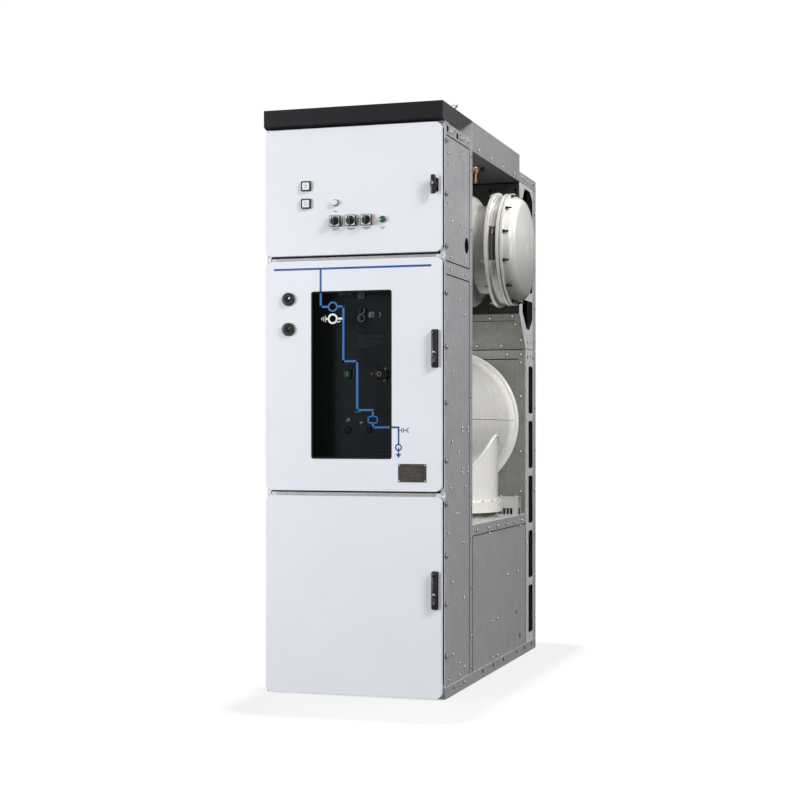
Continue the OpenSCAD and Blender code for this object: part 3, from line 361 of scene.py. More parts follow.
class Piece:
    """Gathers simple shapes, in millimetres, into one object that rides on a body."""

    def __init__(self, name, finish, body="cabinet", slot=None):
        self.bm, self.name, self.body, self.slot = bmesh.new(), name, body, slot
        self.finishes, self.index = [finish], 0

    def use(self, finish):
        """Sets the finish of the shapes that follow."""
        if finish not in self.finishes:
            self.finishes.append(finish)
        self.index = self.finishes.index(finish)
        return self

    def add(self, points, faces):
        """Adds faces, each a row of places in the list of points."""
        verts = [self.bm.verts.new(p) for p in points]
        made = [self.bm.faces.new([verts[i] for i in f]) for f in faces]
        for face in made:
            face.material_index = self.index
            face.smooth = True
        return made

    def box(self, x, d, z, bevel=0.0):
        """A box from its two places each way, with its edges rounded by the bevel."""
        made = self.add([at(x[i & 1], d[i >> 1 & 1], z[i >> 2 & 1]) for i in range(8)], BOX_FACES)
        if bevel:
            edges = list(dict.fromkeys(e for f in made for e in f.edges))
            bmesh.ops.bevel(self.bm, geom=edges, offset=bevel, segments=3, profile=0.5, affect="EDGES",
                            material=-1, clamp_overlap=True)
        return self

    def lathe(self, point, axis, profile, seg=24, turn=0.0):
        """A turned shape from pairs of radius and distance along the axis, from one end to the other."""
        along = AXES[axis] if isinstance(axis, str) else Vector(axis).normalized()
        side = along.orthogonal().normalized()
        up = along.cross(side)
        points, rings, faces = [], [], []
        for r, h in profile:
            centre = point + along * h
            if r > 0:
                rings.append(range(len(points), len(points) + seg))
                points += [centre + side * (r * cos(a)) + up * (r * sin(a))
                           for a in turns(seg, turn)]
            else:
                rings.append([len(points)] * seg)
                points.append(centre)
        for a, b in zip(rings, rings[1:]):
            for i in range(seg):
                j = (i + 1) % seg
                face = tuple(dict.fromkeys((a[i], a[j], b[j], b[i])))
                if len(face) > 2:
                    faces.append(face)
        self.add(points, faces)
        return self

    def boss(self, x, d, z, profile, seg=24):
        """A turned shape that stands out to the front."""
        return self.lathe(at(x, d, z), "-y", profile, seg)

    def plate(self, outline, x, z, d, thick, hole=None):
        """A plate that faces the front, from its outline about (x, z).

        A hole is a second outline with as many points.
        """
        rim = outline + (hole or [])
        n, m = len(outline), len(rim)
        faces = []
        for i in range(n):
            j = (i + 1) % n
            faces.append((j, i, m + i, m + j))
            if hole:
                faces += [(i, j, n + j, n + i), (m + j, m + i, m + n + i, m + n + j),
                          (n + i, n + j, m + n + j, m + n + i)]
        if not hole:
            faces += [tuple(range(n)), tuple(range(2 * n - 1, n - 1, -1))]
        self.add([at(x + a, y, z + b) for y in (d, d + thick) for a, b in rim], faces)
        return self

    def tube(self, path, r, seg=10, closed=False):
        """A round rod or wire along a path of points."""
        n, points, faces = len(path), [], []
        for i, p in enumerate(path):
            before = path[i - 1] if i or closed else p
            after = path[(i + 1) % n] if i + 1 < n or closed else p
            along = (after - before).normalized()
            across = AXES["z"] if abs(along.z) < 0.9 else AXES["x"]
            side = along.cross(across).normalized()
            up = side.cross(along)
            points += [p + side * (r * cos(a)) + up * (r * sin(a)) for a in turns(seg)]
        for i in range(n if closed else n - 1):
            a, b = i * seg, (i + 1) % n * seg
            faces += [(a + k, a + (k + 1) % seg, b + (k + 1) % seg, b + k) for k in range(seg)]
        if not closed:
            faces += [tuple(range(seg - 1, -1, -1)), tuple(range((n - 1) * seg, n * seg))]
        self.add(points, faces)
        return self

    def bolt(self, point, axis, size=1.0, nut=False, face=None, washer=None):
        """A hexagon bolt on its washer, 15 mm over the corners at size 1.

        The bolt's face and the washer can have their own finish.
        """
        s, own = size, self.finishes[self.index]
        self.use(washer or face or own)
        self.lathe(point, axis, [(10.5 * s, -0.3), (10.5 * s, 1.5 * s), (4 * s, 1.5 * s)], 16)
        self.use(face or own)
        tip = 11.5 * s if nut else 7.0 * s
        self.lathe(point, axis, [(6.9 * s, 7.2 * s), (3.6 * s, 7.45 * s), (3.6 * s, tip), (0, tip)], 6, 0.3)
        self.use(own)
        self.lathe(point, axis, [(7.5 * s, 1.4 * s), (7.5 * s, 6.3 * s), (6.9 * s, 7.2 * s)], 6, 0.3)
        return self

    def flat(self, d, corners):
        """A flat sign that faces the front, from its corners (x, z)."""
        self.add([at(x, d, z) for x, z in corners], [range(len(corners))])
        return self

    def ring(self, x, z, d, r, width, finish, thick=1.0, seg=36, start=0, sweep=360):
        """A ring, or a part of one, that faces the front."""
        self.use(finish)
        k = max(3, int(seg * sweep / 360))
        points = []
        outer, inner, back = r + width / 2, r - width / 2, d + thick
        for radius, deep in ((outer, d), (inner, d), (inner, back), (outer, back)):
            for a in row(radians(start), radians(start + sweep), k + 1):
                points.append(at(x + radius * cos(a), deep, z + radius * sin(a)))
        m = k + 1
        self.add(points, [(j * m + i, j * m + i + 1, (j + 1) % 4 * m + i + 1, (j + 1) % 4 * m + i)
                          for j in range(4) for i in range(k)])
        return self

    def strokes(self, x0, x1, d, z0, z1, n, finish, seed):
        """Bare strokes of uneven length that stand for a printed block."""
        self.use(finish)
        for i in range(n):
            z = z1 - (z1 - z0) * (i + 0.5) / n
            share = 0.45 + 0.55 * abs(sin(seed * 1.7 + i * 2.3))
            self.box((x0, x0 + (x1 - x0) * share), d, (z - 1.5, z + 1.5))

    def done(self):
        """Makes the object and returns it."""
        mesh = bpy.data.meshes.new(self.name)
        bmesh.ops.recalc_face_normals(self.bm, faces=self.bm.faces)
        bmesh.ops.scale(self.bm, vec=(0.001,) * 3, verts=self.bm.verts)
        self.bm.to_mesh(mesh)
        self.bm.free()
        mesh.set_sharp_from_angle(angle=radians(38))
        for finish in self.finishes:
            mesh.materials.append(finish)
        o = bpy.data.objects.new(self.name, mesh)
        bpy.context.scene.collection.objects.link(o)
        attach(o, self.body)
        return o


# ---- bolts on the sides, at (d, z) ----
EDGE_BOLTS = [(9, z) for z in (2343, 2119, 1899, 1704, 1478, 1243, 1000, 818, 601, 400, 180)]
PANEL_BOLTS = [(40, 2295), (45, 2252), (39, 2083), (247, 2321), (96, 2016), (245, 2020), (82, 1863),
               (319, 1865), (82, 1808), (319, 1808), (207, 1690), (307, 1631), (101, 1382), (99, 1081),
               (198, 1036), (262, 1141), (262, 1124), (361, 1141), (361, 1124), (261, 964), (261, 947),
               (360, 964), (360, 947), (77, 884), (314, 883), (156, 773), (197, 772), (37, 696),
               (285, 642), (104, 484), (292, 402), (110, 177), (215, 127), (299, 100), (215, 75), (46, 76)]
POST_BOLTS = [(422, z) for z in (2345, 2282, 2020, 1772, 1499, 1279, 1060, 842, 640, 430, 220, 80)]
BAND_BOLTS = [(105, 2393), (285, 2394), (360, 2396)]
BASE_BOLTS = [(134, 33), (231, 31), (298, 33)]
DUCT_BOLTS = [(d, 2390) for d in (543, 780, 1016, 1244)]
COLUMN_BOLTS = [(UPPER_WALL + d, 2396) for d in (50, 101, 176, 281)]
COLUMN_BOLTS += [(LOWER_WALL + d, JOINT + z) for d, z in ((111, 39), (205, 55), (40, 39), (111, -29),
                                                         (205, -29), (40, -29))]
REAR_BOLTS = [(REAR - 31, z) for z in (2250, 2010, 1760, 1467, 1242, 1030, 819, 598, 380, 170)]
WALL_EDGE_BOLTS = [(LOWER_WALL + 16, z) for z in (1440, 1330, 1180, 1000, 870, 560, 380, 200)]
DECK_BOLTS = [(d, DECK - 28) for d in (518, 729, 902, 1084, 1241, 1404)]
LOW_BOLTS = [(793, 243), (900, 243), (802, 73), (899, 71), (1103, 434), (1315, 431), (748, 653),
             (1382, 652)]
# bolts in a light finish with near-black faces or washers: painted highlight and painted shade
SIDE_BOLTS = ((BOLT, EDGE_BOLTS, 1.1, {"face": BOLT_SHADE}),
              (BOLT_HIGHLIGHT, POST_BOLTS + COLUMN_BOLTS, 0.75, {"face": BOLT_SHADE}),
              (BOLT_HIGHLIGHT, PANEL_BOLTS + WALL_EDGE_BOLTS, 0.7, {"washer": BOLT_SHADE}),
              (BOLT_HIGHLIGHT, DUCT_BOLTS + LOW_BOLTS, 0.8, {"washer": BOLT_SHADE}),
              (BOLT, REAR_BOLTS + BASE_BOLTS, 0.75, {"face": BOLT_SHADE}),
              (BOLT, DECK_BOLTS, 0.9, {"nut": True, "washer": BOLT_SHADE}),
              (BOLT, BAND_BOLTS, 0.95, {"nut": True}))
# punched holes and black caps, by their radius, as near-black discs: painted shade inside the holes
SIDE_HOLES = ((5.5, [(150, 2405), (232, 2386), (240, 2404), (260, 2388), (70, 2384)]),
              (8, [(1300, 230), (REAR - 70, 1500), (REAR - 190, 1500), (REAR - 60, 2396)]),
              (9.5, [(d, 32) for d in (632, 830, 1029, 1312, 1478, 1640)]),
              (12, [(1378, 106)]),
              (14, [(34, 2396), (190, 2393)]))

for side, mark, axis in SIDES:
    p = Piece("side_bolts_" + mark, BOLT)
    for finish, places, size, options in SIDE_BOLTS:
        p.use(finish)
        for d, z in places:
            p.bolt(at(side * SIDE, d, z), axis, size, **options)
    p.done()

    p = Piece("side_holes_" + mark, SHADE_BLACK)
    for r, places in SIDE_HOLES:
        for d, z in places:
            p.lathe(at(side * SIDE, d, z), axis, [(r, -0.2), (r, 0.35), (0, 0.4)], 14)
    x = span(side, SIDE - 0.5, SIDE + 0.35)
    # near-black slots: painted shade
    for d, z in (((176, 204), (2380, 2394)), ((22, 46), (2398, 2410)),
                 ((POST - 17, POST - 11), (743, 792))):
        p.box(x, d, z)
    # dark strips at the joints between the sheets: painted shadow in the joints
    for d, z0, z1 in ((391.5, 50, BAND_LOW), (391.5, BAND_HIGH, TOP_BAND), (446.5, 50, DECK - 52),
                      (LOWER_WALL - 1.5, 50, DECK - 52)):
        p.box(x, (d - 3.2, d + 3.2), (z0, z1))
    for z in (BAND_LOW - 1.5, BAND_HIGH + 1.5, TOP_BAND - 1.5):
        p.box(x, (18, 390), (z - 2.4, z + 2.4))
    p.box(x, (448, LOWER_WALL - 2), (DECK - 52.5, DECK - 48.5))
    # a near-black disc in the wiring hole: painted shade inside it
    p.lathe(at(side * (SIDE - 1.6), *WIRING_HOLE), axis, [(34.8, -1), (34.8, 0), (0, 0.4)], 40)
    p.done()

    # thin lips along the sheets' folds in a light finish: painted highlights on the folds
    p = Piece("side_highlight_lips_" + mark, ZINC_LIT)
    x = span(side, SIDE - 0.5, SIDE + 1.6)
    p.box(x, (3, POST - 2), (48.4, 50.4), 0.4)
    p.box(x, (POST + 5, REAR - 4), (48.4, 50.4), 0.4)
    p.box(x, (POST + 3, LOWER_WALL - 4), (DECK - 3.5, DECK + 0.4), 0.6)
    p.done()

# ---- bolts and joints of the walls behind the vessels ----
# bolts with a painted highlight, on washers with painted shade
p = Piece("wall_bolts", BOLT_HIGHLIGHT)
wall_face = LOWER_WALL - 3
for side in (1, -1):
    for x, z in ((377, 1302), (376, 1024), (376, 822), (377, 1473), (378, 1514), (306, 1515), (120, 1515)):
        p.bolt(at(side * x, wall_face, z), "-y", 0.8, washer=BOLT_SHADE)
# the slanted sheet, from its low edge and square to it
slant_low = at(0, wall_face, JOINT)
slant = at(0, UPPER_WALL - 3, JOINT + 169) - slant_low
slant_axis = Vector((0, -slant.z, slant.y)).normalized()
for side in (1, -1):
    for x, share in ((245, 0.9), (362, 0.95), (371, 0.72), (386, 0.28), (278, 0.12), (120, 0.9),
                     (150, 0.12)):
        place = slant_low + slant * share + side * x * AXES["x"]
        p.bolt(place, slant_axis, 0.75, washer=BOLT_SHADE)
p.done()

# near-black bolts on the upper wall and dark lines along the walls' joints and fold: painted shade
p = Piece("wall_joints", SHADE_BLACK)
for side in (1, -1):
    for x, z in ((380, 2330), (380, 2180), (250, 2330), (90, 2330), (380, 1990), (380, 1800)):
        p.bolt(at(side * x, UPPER_WALL - 3, z), "-y", 0.7)
p.box((-388, 388), (wall_face - 0.6, wall_face + 0.2), (JOINT - 5, JOINT - 0.5))
p.box((-362, 362), (wall_face - 0.6, wall_face + 0.2), (1488, 1492.5))
p.box((-388, 388), (UPPER_WALL - 3.6, UPPER_WALL - 2.8), (DUCT_LOW - 9, DUCT_LOW - 3))
fold = slant_low + slant * 0.8 + slant_axis * 0.6
p.add([fold + x * AXES["x"] + slant.normalized() * t
       for x, t in ((-370, 0), (370, 0), (370, 3.2), (-370, 3.2))], [(0, 1, 2, 3)])
p.done()

# ---- bolts on the rear and on the top ----
p = Piece("rear_bolts", BOLT)
rear_edges = (22 - SIDE, SIDE - 22)
places = [(x, z) for x in row(*rear_edges, 6) for z in (75, JOINT - 30, JOINT + 34, FRAME_TOP - 26)]
places += [(x, z) for z in row(75, JOINT - 30, 8) + row(JOINT + 34, FRAME_TOP - 26, 5) for x in rear_edges]
for x, z in places:
    p.bolt(at(x, REAR, z), "y", 0.7)
top_edges = (26 - SIDE, SIDE - 26)
for x in row(*top_edges, 5):
    for d, z in ((UPPER_WALL + 28, FRAME_TOP), (REAR - 30, FRAME_TOP), (POST + 26, TOP),
                 (UPPER_WALL - 26, TOP)):
        p.bolt(at(x, d, z), "z", 0.7)
for d in row(POST + 26, UPPER_WALL - 26, 6)[1:-1]:
    for x in top_edges:
        p.bolt(at(x, d, TOP), "z", 0.7)
for x in row(40 - SIDE, SIDE - 40, 5):
    for d in (0, POST - 30):
        p.bolt(at(x, d, TOP), "z", 0.6)
p.done()

# ---- rail bolts between the doors ----
p = Piece("rail_bolts", BOLT)
for under, over in (("lower_door", "middle_door"), ("middle_door", "upper_door")):
    for x in (14 - SIDE, SIDE - 14):
        p.bolt(at(x, 0, (high(under).z + low(over).z) / 2), "-y", 0.6)
p.done()

# ---- plates that close the ends of the base rails ----
p = Piece("base_end_plates", ZINC)
for side in (1, -1):
    for d in (0.2, REAR - 1.6):
        p.box(span(side, SIDE - 62, SIDE - 0.4), (d, d + 1.4), (0.6, high("base_frame").z - 0.4))
p.done()

# ---- rubber seals round the compartments, and dark rubber strips in the doors' gaps that also stand as painted shadow of the doors, on the frame's front ----
p = Piece("door_seals_and_gap_shadows", RUBBER)
for door, lift, drop in (("lower_door", 50, 12), ("middle_door", 12, 12), ("upper_door", 12, 16)):
    z0, z1 = low(door).z + lift, high(door).z - drop
    w, h = 2 * (SIDE - 26), z1 - z0
    p.plate(rounded(w, h, 12), 0, (z0 + z1) / 2, -5.5, 5.6, hole=rounded(w - 16, h - 16, 8))
    edge = high(door).x
    for side in (1, -1):
        p.box(span(side, edge - 5, edge + 2.6), (-1.2, 0.2), (z0 + 8, z1 - 8))
    if door != "lower_door":
        p.box((12 - edge, edge - 12), (-2.2, 0.2), (low(door).z - 7, low(door).z + 5))
p.done()

# ---- fascia: light lip, and the edges of the top ----
p = Piece("fascia_lip", ROD)
lip_z = low("fascia").z
p.box((-SIDE, SIDE), (-18.6, 1), (lip_z - 1.4, lip_z + 0.4), 0.4)
for side in (1, -1):
    p.box(span(side, SIDE - 3, SIDE + 0.6), (0.5, 62), (FRAME_TOP, FRAME_TOP + 3.5), 0.5)
p.done()

# ---- busbar vessel: ring grooves, bolts, studs and nuts ----
ring_out = high("busbar_vessel").x
cover_in = high("clamp_bands").x
cover_r = (high("busbar_covers").z - low("busbar_covers").z) / 2
ring_r = (high("busbar_vessel").z - low("busbar_vessel").z) / 2
band_r = (high("clamp_bands").z - low("clamp_bands").z) / 2
centre = at(0, BUS_D, BUS.z)
for side, mark, axis in SIDES:
    # near-black rings in the groove between the cover's rings and where the cover meets the band: painted
    # shade in the grooves
    p = Piece("cover_groove_" + mark, SHADE_BLACK)
    groove = [(cover_r + 0.15, 17), (cover_r + 0.3, 17.2), (cover_r + 0.3, 19), (cover_r + 0.15, 19.2)]
    p.lathe(centre, axis, [(r, cover_in + x) for r, x in groove], 128)
    p.lathe(centre, axis, [(cover_r + 0.1, cover_in - 0.4), (cover_r - 6, cover_in - 0.5)], 128)
    p.use(ENAMEL)
    for x0, x1, r in ((ring_out - 17, ring_out, ring_r), (cover_in, cover_in + 16, cover_r),
                      (cover_in + 20, cover_in + 32, cover_r)):
        p.lathe(centre, axis, [(r - 3, x0 + 0.1), (r + 0.35, x0 + 1.6), (r + 0.5, (x0 + x1) / 2),
                               (r + 0.35, x1 - 1.6), (r - 3, x1 - 0.1)], 128)
    p.done()

    p = Piece("cover_bolts_" + mark, BOLT_BLACK)
    inner_axis = "-x" if side > 0 else "x"
    for a in turns(12, radians(16.2)):
        outer = bus_point(side * (cover_in + 32), cover_r - 9, a)
        p.use(BOLT_BLACK)
        p.lathe(outer, axis, [(8.6, -0.2), (8.6, 1.6), (3, 1.6)], 16)
        p.lathe(outer, axis, [(7.2, 1.5), (7.2, 9.2), (6.2, 10.2), (0, 10.2)], 6, a)
        p.lathe(outer, axis, [(4.4, 9), (4.4, 27), (3.4, 28), (0, 28)], 10)
        inner = bus_point(side * (ring_out - 17), ring_r - 9, a)
        p.use(BOLT)
        p.lathe(inner, inner_axis, [(8, -0.2), (8, 1.6), (3, 1.6)], 16)
        p.lathe(inner, inner_axis, [(6.6, 1.5), (6.6, 8.5), (5.6, 9.5), (0, 9.5)], 6, a)
        p.lathe(inner, inner_axis, [(3.4, 9), (3.4, 20), (0, 21)], 10)
    p.done()

    # a dark strip on the band, from 160 to 196 degrees round it: painted reflection on the polished band
    p = Piece("band_painted_reflection_" + mark, BAND_REFLECTION)
    points = [bus_point(side * x, band_r + 0.9, radians(a)) for a in row(160, 196, 25)
              for x in (ring_out + 2, cover_in - 2)]
    p.add(points, [(i, i + 1, i + 3, i + 2) for i in range(0, len(points) - 2, 2)])
    p.done()

    # the band's rolled edges
    p = Piece("band_edges_" + mark, POLISHED)
    for x in (ring_out + 1.5, ring_out + 18, cover_in - 1.5):
        p.lathe(centre, axis, [(band_r - 1, x - 1.6), (band_r + 1.0, x - 0.6), (band_r + 1.0, x + 0.6),
                               (band_r - 1, x + 1.6)], 128)
    p.done()

# ---- weld beads and seams on the vessels ----
neck_d = middle("cable_neck").y - FRONT
neck_r = (high("seal_ring").x - low("seal_ring").x) / 2 + 1
flange_r = (high("cable_neck").x - low("cable_neck").x) / 2
flange_low = high("seal_ring").z
flange_top = flange_low + 52
link = middle("connecting_neck")
link_d = link.y - FRONT
# the barrel's long seam runs a little over its widest line
seam_rise = 10
seam_x = sqrt(BREAKER_R ** 2 - seam_rise ** 2)
seam_z = BREAKER.z + seam_rise

p = Piece("weld_beads", ENAMEL)
for side in (1, -1):
    for x, r, bead in ((262, BUS_R + 0.2, 2.2), (ring_out - 19, 205, 5)):
        p.tube([bus_point(side * x, r, a) for a in turns(96)], bead, 8, closed=True)
for side in (1, -1):
    p.tube([at(side * seam_x, d, seam_z) for d in (POST + 30, LOWER_WALL - 34)], 1.6, 8)
for d in (POST + 32, LOWER_WALL - 36):
    r = BREAKER_R + 0.3
    p.tube([at(r * cos(a), d, BREAKER.z + r * sin(a)) for a in turns(120)], 3, 8, closed=True)
# the cable neck's weld follows the barrel
saddle = []
for a in turns(240):
    x = neck_r * cos(a)
    drop = sqrt(BREAKER_R ** 2 - x ** 2)
    saddle.append(at(x + 2.0 * cos(a), neck_d + (neck_r + 2.0) * sin(a), BREAKER.z - drop + 1))
p.tube(saddle, 6.5, 10, closed=True)
p.tube(circle(neck_r + 1, neck_d, flange_top + 1), 4, 8, closed=True)
p.lathe(at(0, neck_d, 0), "z", [(flange_r - 2, flange_top - 0.2), (flange_r + 0.4, flange_top - 2.5),
                                (flange_r + 0.6, (flange_top + flange_low) / 2),
                                (flange_r + 0.4, flange_low + 2.5), (flange_r - 2, flange_low + 0.2)], 160)
# the neck between the two vessels
for z in (1517.5, 1711):
    p.tube(circle(110, link_d, z, 64), 3, 8, closed=True)
p.done()

# a grey line just under the barrel's seam bead: painted shadow of the bead
p = Piece("seam_shadow_lines", MARK_GREY)
for side in (1, -1):
    p.tube([at(side * (seam_x + 0.2), d, seam_z - 2.6) for d in (POST + 31, LOWER_WALL - 35)], 0.9, 6)
p.done()

p = Piece("neck_flange_bolts", BOLT)
for q in circle((neck_r + flange_r) / 2, neck_d, flange_top, 28):
    p.lathe(q, "z", [(6.5, -0.2), (6.5, 1.4), (2.5, 1.4)], 14)
    p.lathe(q, "z", [(5.4, 1.2), (5.4, 6.5), (4.6, 7.4), (0, 7.4)], 6)
for rise, axis in ((20, "z"), (-20, "-z")):
    for q in circle(129, link_d, link.z + rise, 12):
        p.lathe(q, axis, [(9, -0.2), (9, 1.8), (3, 1.8)], 14)
        p.lathe(q, axis, [(7.6, 1.6), (7.6, 9), (6.4, 10), (0, 10)], 6)
p.done()

# ---- deck: clamps and caps of the support beams, sealing collar ----
beam_low, beam_high = low("support_beams"), high("support_beams")
beam_d, beam_back = beam_low.y - FRONT, beam_high.y - FRONT
beam_tall = 58
p = Piece("beam_clamps", BOLT_BLACK)
for side in (1, -1):
    for x in (384, 366, 348, 330, 312):
        p.use(BOLT_BLACK)
        p.lathe(at(side * x, beam_d + 12, DECK), "z",
                [(10, 0), (10, 7), (7, 9), (7, 21), (10, 23), (10, 30), (0, 30)], 12)
        p.use(BOLT)
        p.lathe(at(side * (x - 9), beam_d + 6, DECK), "z", [(3, 0), (3, 30), (0, 30)], 8)
    p.use(BOLT)
    for x in (368, 290):
        p.bolt(at(side * x, (beam_d + beam_back) / 2, beam_high.z), "z", 0.8)
p.done()

# near-black boxes inside the beams' ends: painted shade in the hollows
p = Piece("beam_inside_shade", SHADE_BLACK)
for side in (1, -1):
    p.box(span(side, beam_high.x - 70, beam_high.x - 40), (beam_d + 3.2, beam_back - 3.2),
          (beam_high.z - beam_tall + 3.2, beam_high.z - 3.2))
p.done()

p = Piece("deck_collar", POLISHED)
collar = [(neck_r - 2, 0), (neck_r + 4, 0), (neck_r + 4, 3), (neck_r + 0.5, 6),
          (neck_r + 0.5, flange_low - DECK - 1), (neck_r - 2, flange_low - DECK - 1)]
p.lathe(at(0, neck_d, DECK), "z", collar, 160)
p.done()

p = Piece("deck_marks", BOLT)
for q in circle(neck_r + 30, neck_d, DECK, 24):
    if abs(q.x) < SIDE - 8:
        p.bolt(q, "z", 0.5)
p.done()

# ---- ceiling lumps and the gas fitting's ends in the middle bay ----
p = Piece("bay_piping", COPPER)
fit_low, fit_high = low("gas_fitting"), high("gas_fitting")
fit_x, fit_d = (fit_low.x + fit_high.x) / 2, fit_high.y - FRONT - 11.3
p.lathe(at(fit_x, fit_d, fit_low.z), "-z", [(7.6, -9), (7.6, 0), (5, 2.5), (0, 2.5)], 16)
p.use(BOLT_HIGHLIGHT)
p.lathe(at(fit_x, fit_d, fit_high.z), "z", [(10, -0.3), (10, 3), (7, 5), (0, 5)], 6)
p.use(BOLT_BLACK)
for x, d in ((330, 640), (330, 900), (250, 700), (120, 640), (-330, 640), (-330, 900), (200, 1000)):
    p.lathe(at(x, d, DUCT_LOW), "-z", [(11, -1), (11, 6), (8, 9), (8, 16), (0, 16)], 8)
for side in (1, -1):
    p.box(span(side, 200, 360), (560, 590), (DUCT_LOW - 14, DUCT_LOW + 1), 2)
p.done()

# ---- what shows behind the window: the drive's panel ----
p = Piece("drive_front", MARK_DIM)
PRINT = (PANEL - 0.8, PANEL + 0.2)
p.box((-300, 330), PRINT, (1419, 1421.5))
p.box((-208, -205), PRINT, (930, 1800))
p.use(MARK_GREY).box((-210, 140), PRINT, (1024, 1026))
p.strokes(-12, 109, PRINT, 1483, 1540, 7, MARK_GREY, 1.0)
p.strokes(-173, -80, PRINT, 1440, 1532, 9, MARK_DIM, 2.0)
p.strokes(-173, -68, PRINT, 1233, 1300, 7, MARK_DIM, 3.1)
p.strokes(-70, -45, PRINT, 1160, 1188, 3, MARK_GREY, 4.3)
p.strokes(-25, 3, PRINT, 1203, 1212, 1, MARK_WHITE, 0.9)
p.use(GREY_PLASTIC)
for x, z, w, h in ((-67, 1728, 60, 36), (8, 1722, 34, 60), (-20, 1745, 90, 22)):
    p.box((x - w / 2, x + w / 2), (PANEL - 8, PANEL), (z - h / 2, z + h / 2), 2)
# flags with their signs, and the knob
p.use(BLACK).box((-74, -38), (PANEL - 6, PANEL), (1350, 1390), 2)
p.box((70, 108), (PANEL - 6, PANEL), (1349, 1389), 2)
p.use(GREEN_FLAG).box((-70, -42), (PANEL - 7, PANEL - 5), (1354, 1386), 0.5)
p.use(RED_FLAG).box((74, 104), (PANEL - 7, PANEL - 5), (1353, 1385), 0.5)
p.use(MARK_WHITE).box((-58.5, -53.5), (PANEL - 8, PANEL - 6), (1360, 1380))
p.ring(88, 1369, PANEL - 8, 8.5, 4, MARK_WHITE, 1.5)
p.boss(54, PANEL, 1371, [(5.5, -0.5), (5.5, 3), (4, 5), (0, 5.5)], 16)
p.use(BLACK).boss(119, PANEL, 1366, [(21, -1), (21, 5), (18, 7), (17, 20), (15, 23), (0, 23)], 28)
p.use(MARK_WHITE).box((119, 123), (PANEL - 24.5, PANEL - 22.8), (1384, 1398))
p.box((113, 119), (PANEL - 24.5, PANEL - 22.8), (1336, 1344))
# position rings, socket and arrows
for z, finish in ((1643, MARK_GREY), (1610, MARK_WHITE)):
    p.use(BLACK).boss(8, PANEL, z, [(18, -1), (18, 6), (15, 8), (0, 8)], 28)
    p.ring(8, z, PANEL - 9.5, 14.5, 4.5, finish, 2)
p.ring(8, 1643, PANEL - 10, 14, 3, BLUE, 1, start=120, sweep=120)
p.ring(8, 1643, PANEL - 10.4, 14.5, 5, MARK_WHITE, 1, start=-80, sweep=110)
for x, z, r, width, finish, start, sweep in ((14, 1688, 15, 2.5, MARK_GREY, -40, 130),
                                             (82, 1624, 10, 3.5, MARK_WHITE, -80, 150),
                                             (-27, 1630, 12, 2.5, MARK_GREY, 170, 90),
                                             (-27, 1602, 12, 2.5, MARK_DIM, 170, 90)):
    p.ring(x, z, PANEL - 1, r, width, finish, 1.2, start=start, sweep=sweep)
p.use(WHITE_PLASTIC).box((40, 66), (PANEL - 5, PANEL), (1612, 1637), 2)
p.use(BLACK).box((49, 57), (PANEL - 6, PANEL - 4), (1619, 1627), 1)
p.strokes(42, 86, PRINT, 1640, 1650, 1, MARK_DIM, 1.3)
# switch signs lower down
p.use(MARK_WHITE).flat(PRINT[0], [(-66, 1168), (-46, 1168), (-50, 1186)])
p.flat(PRINT[0], [(-4, 1166), (14, 1166), (2, 1152)])
p.ring(94, 1176, PRINT[0], 11, 2.5, MARK_GREY, 0.8, start=150, sweep=200)
p.use(BLACK)
for x in (-56, 38):
    p.boss(x, PANEL, 1130, [(16, -1), (16, 4), (13, 6), (9, 6), (9, 1), (0, 1)], 24)
p.use(BOLT)
for x in (-330, 330):
    for z in (930, 1230, 1480, 1780):
        p.bolt(at(x, PANEL, z), "-y", 0.7)
p.done()

# ---- middle door: window seal, mimic lines, ports, nameplate ----
WIN_W, WIN_H, WIN_X, WIN_Z = 359, 713, -7.5, 1364
p = Piece("window_seal", RUBBER, "middle_door")
p.plate(rounded(WIN_W + 1, WIN_H + 1, 10.5), WIN_X, WIN_Z, FACE - 1.2, 3.2,
        hole=rounded(WIN_W - 13, WIN_H - 13, 5))
p.done()

door_mark, glass_mark = FACE - 0.35, GLASS - 0.5
ON_DOOR, ON_GLASS = (door_mark, FACE + 0.2), (glass_mark, GLASS + 0.1)
win_top, win_right = WIN_Z + WIN_H / 2, WIN_X + WIN_W / 2
DOOR_LINES = (((-359, 347), (1813.5, 1822.5)), ((-149.5, -140.5), (win_top - 1, 1815)),
              ((win_right - 1, 207.5), (1136.5, 1144.5)), ((200, 207), (1068, 1141)),
              ((200.8, 205.8), (1026, 1056)))
# the two strokes and the two leads of the door's capacitor sign
CAPACITOR = (((205, 216), (1126, 1130)), ((216, 219.5), (1119, 1137)), ((223.5, 227), (1119, 1137)),
             ((227, 237), (1126, 1130)))
GLASS_LINES = (((-149.5, -140.5), (1650.5, win_top + 1)), ((-149.5, -112), (1650.5, 1659.5)),
               ((-70, -38.5), (1650.5, 1659.5)), ((-47.5, -38.5), (1417.5, 1659)),
               ((-47.5, 23.5), (1417.5, 1426.5)), ((14.5, 23.5), (1210, 1426)), ((14.5, 93), (1210, 1218)),
               ((85, 93), (1186, 1214)), ((85, 93), (1137, 1160)), ((85, win_right + 1), (1136.5, 1144.5)),
               ((66, 111), (1184, 1189)), ((66, 111), (1157, 1162)), ((66, 71), (1157, 1189)),
               ((106, 111), (1157, 1189)))
p = Piece("mimic_lines", BLUE_DARK, "middle_door")
for x, z in DOOR_LINES:
    p.box(x, ON_DOOR, z)
p.flat(door_mark, [(190, 1029), (216, 1029), (203, 1012)])
p.ring(203, 1056, door_mark, 12.5, 6, BLUE_DARK, 0.5)
p.use(MARK_DARK)
for x, z in CAPACITOR:
    p.box(x, ON_DOOR, z)
for way in (1, -1):
    p.flat(door_mark, [(236, 1128), (246, 1128 + way * 12), (249, 1128 + way * 9), (239.5, 1128 - way)])
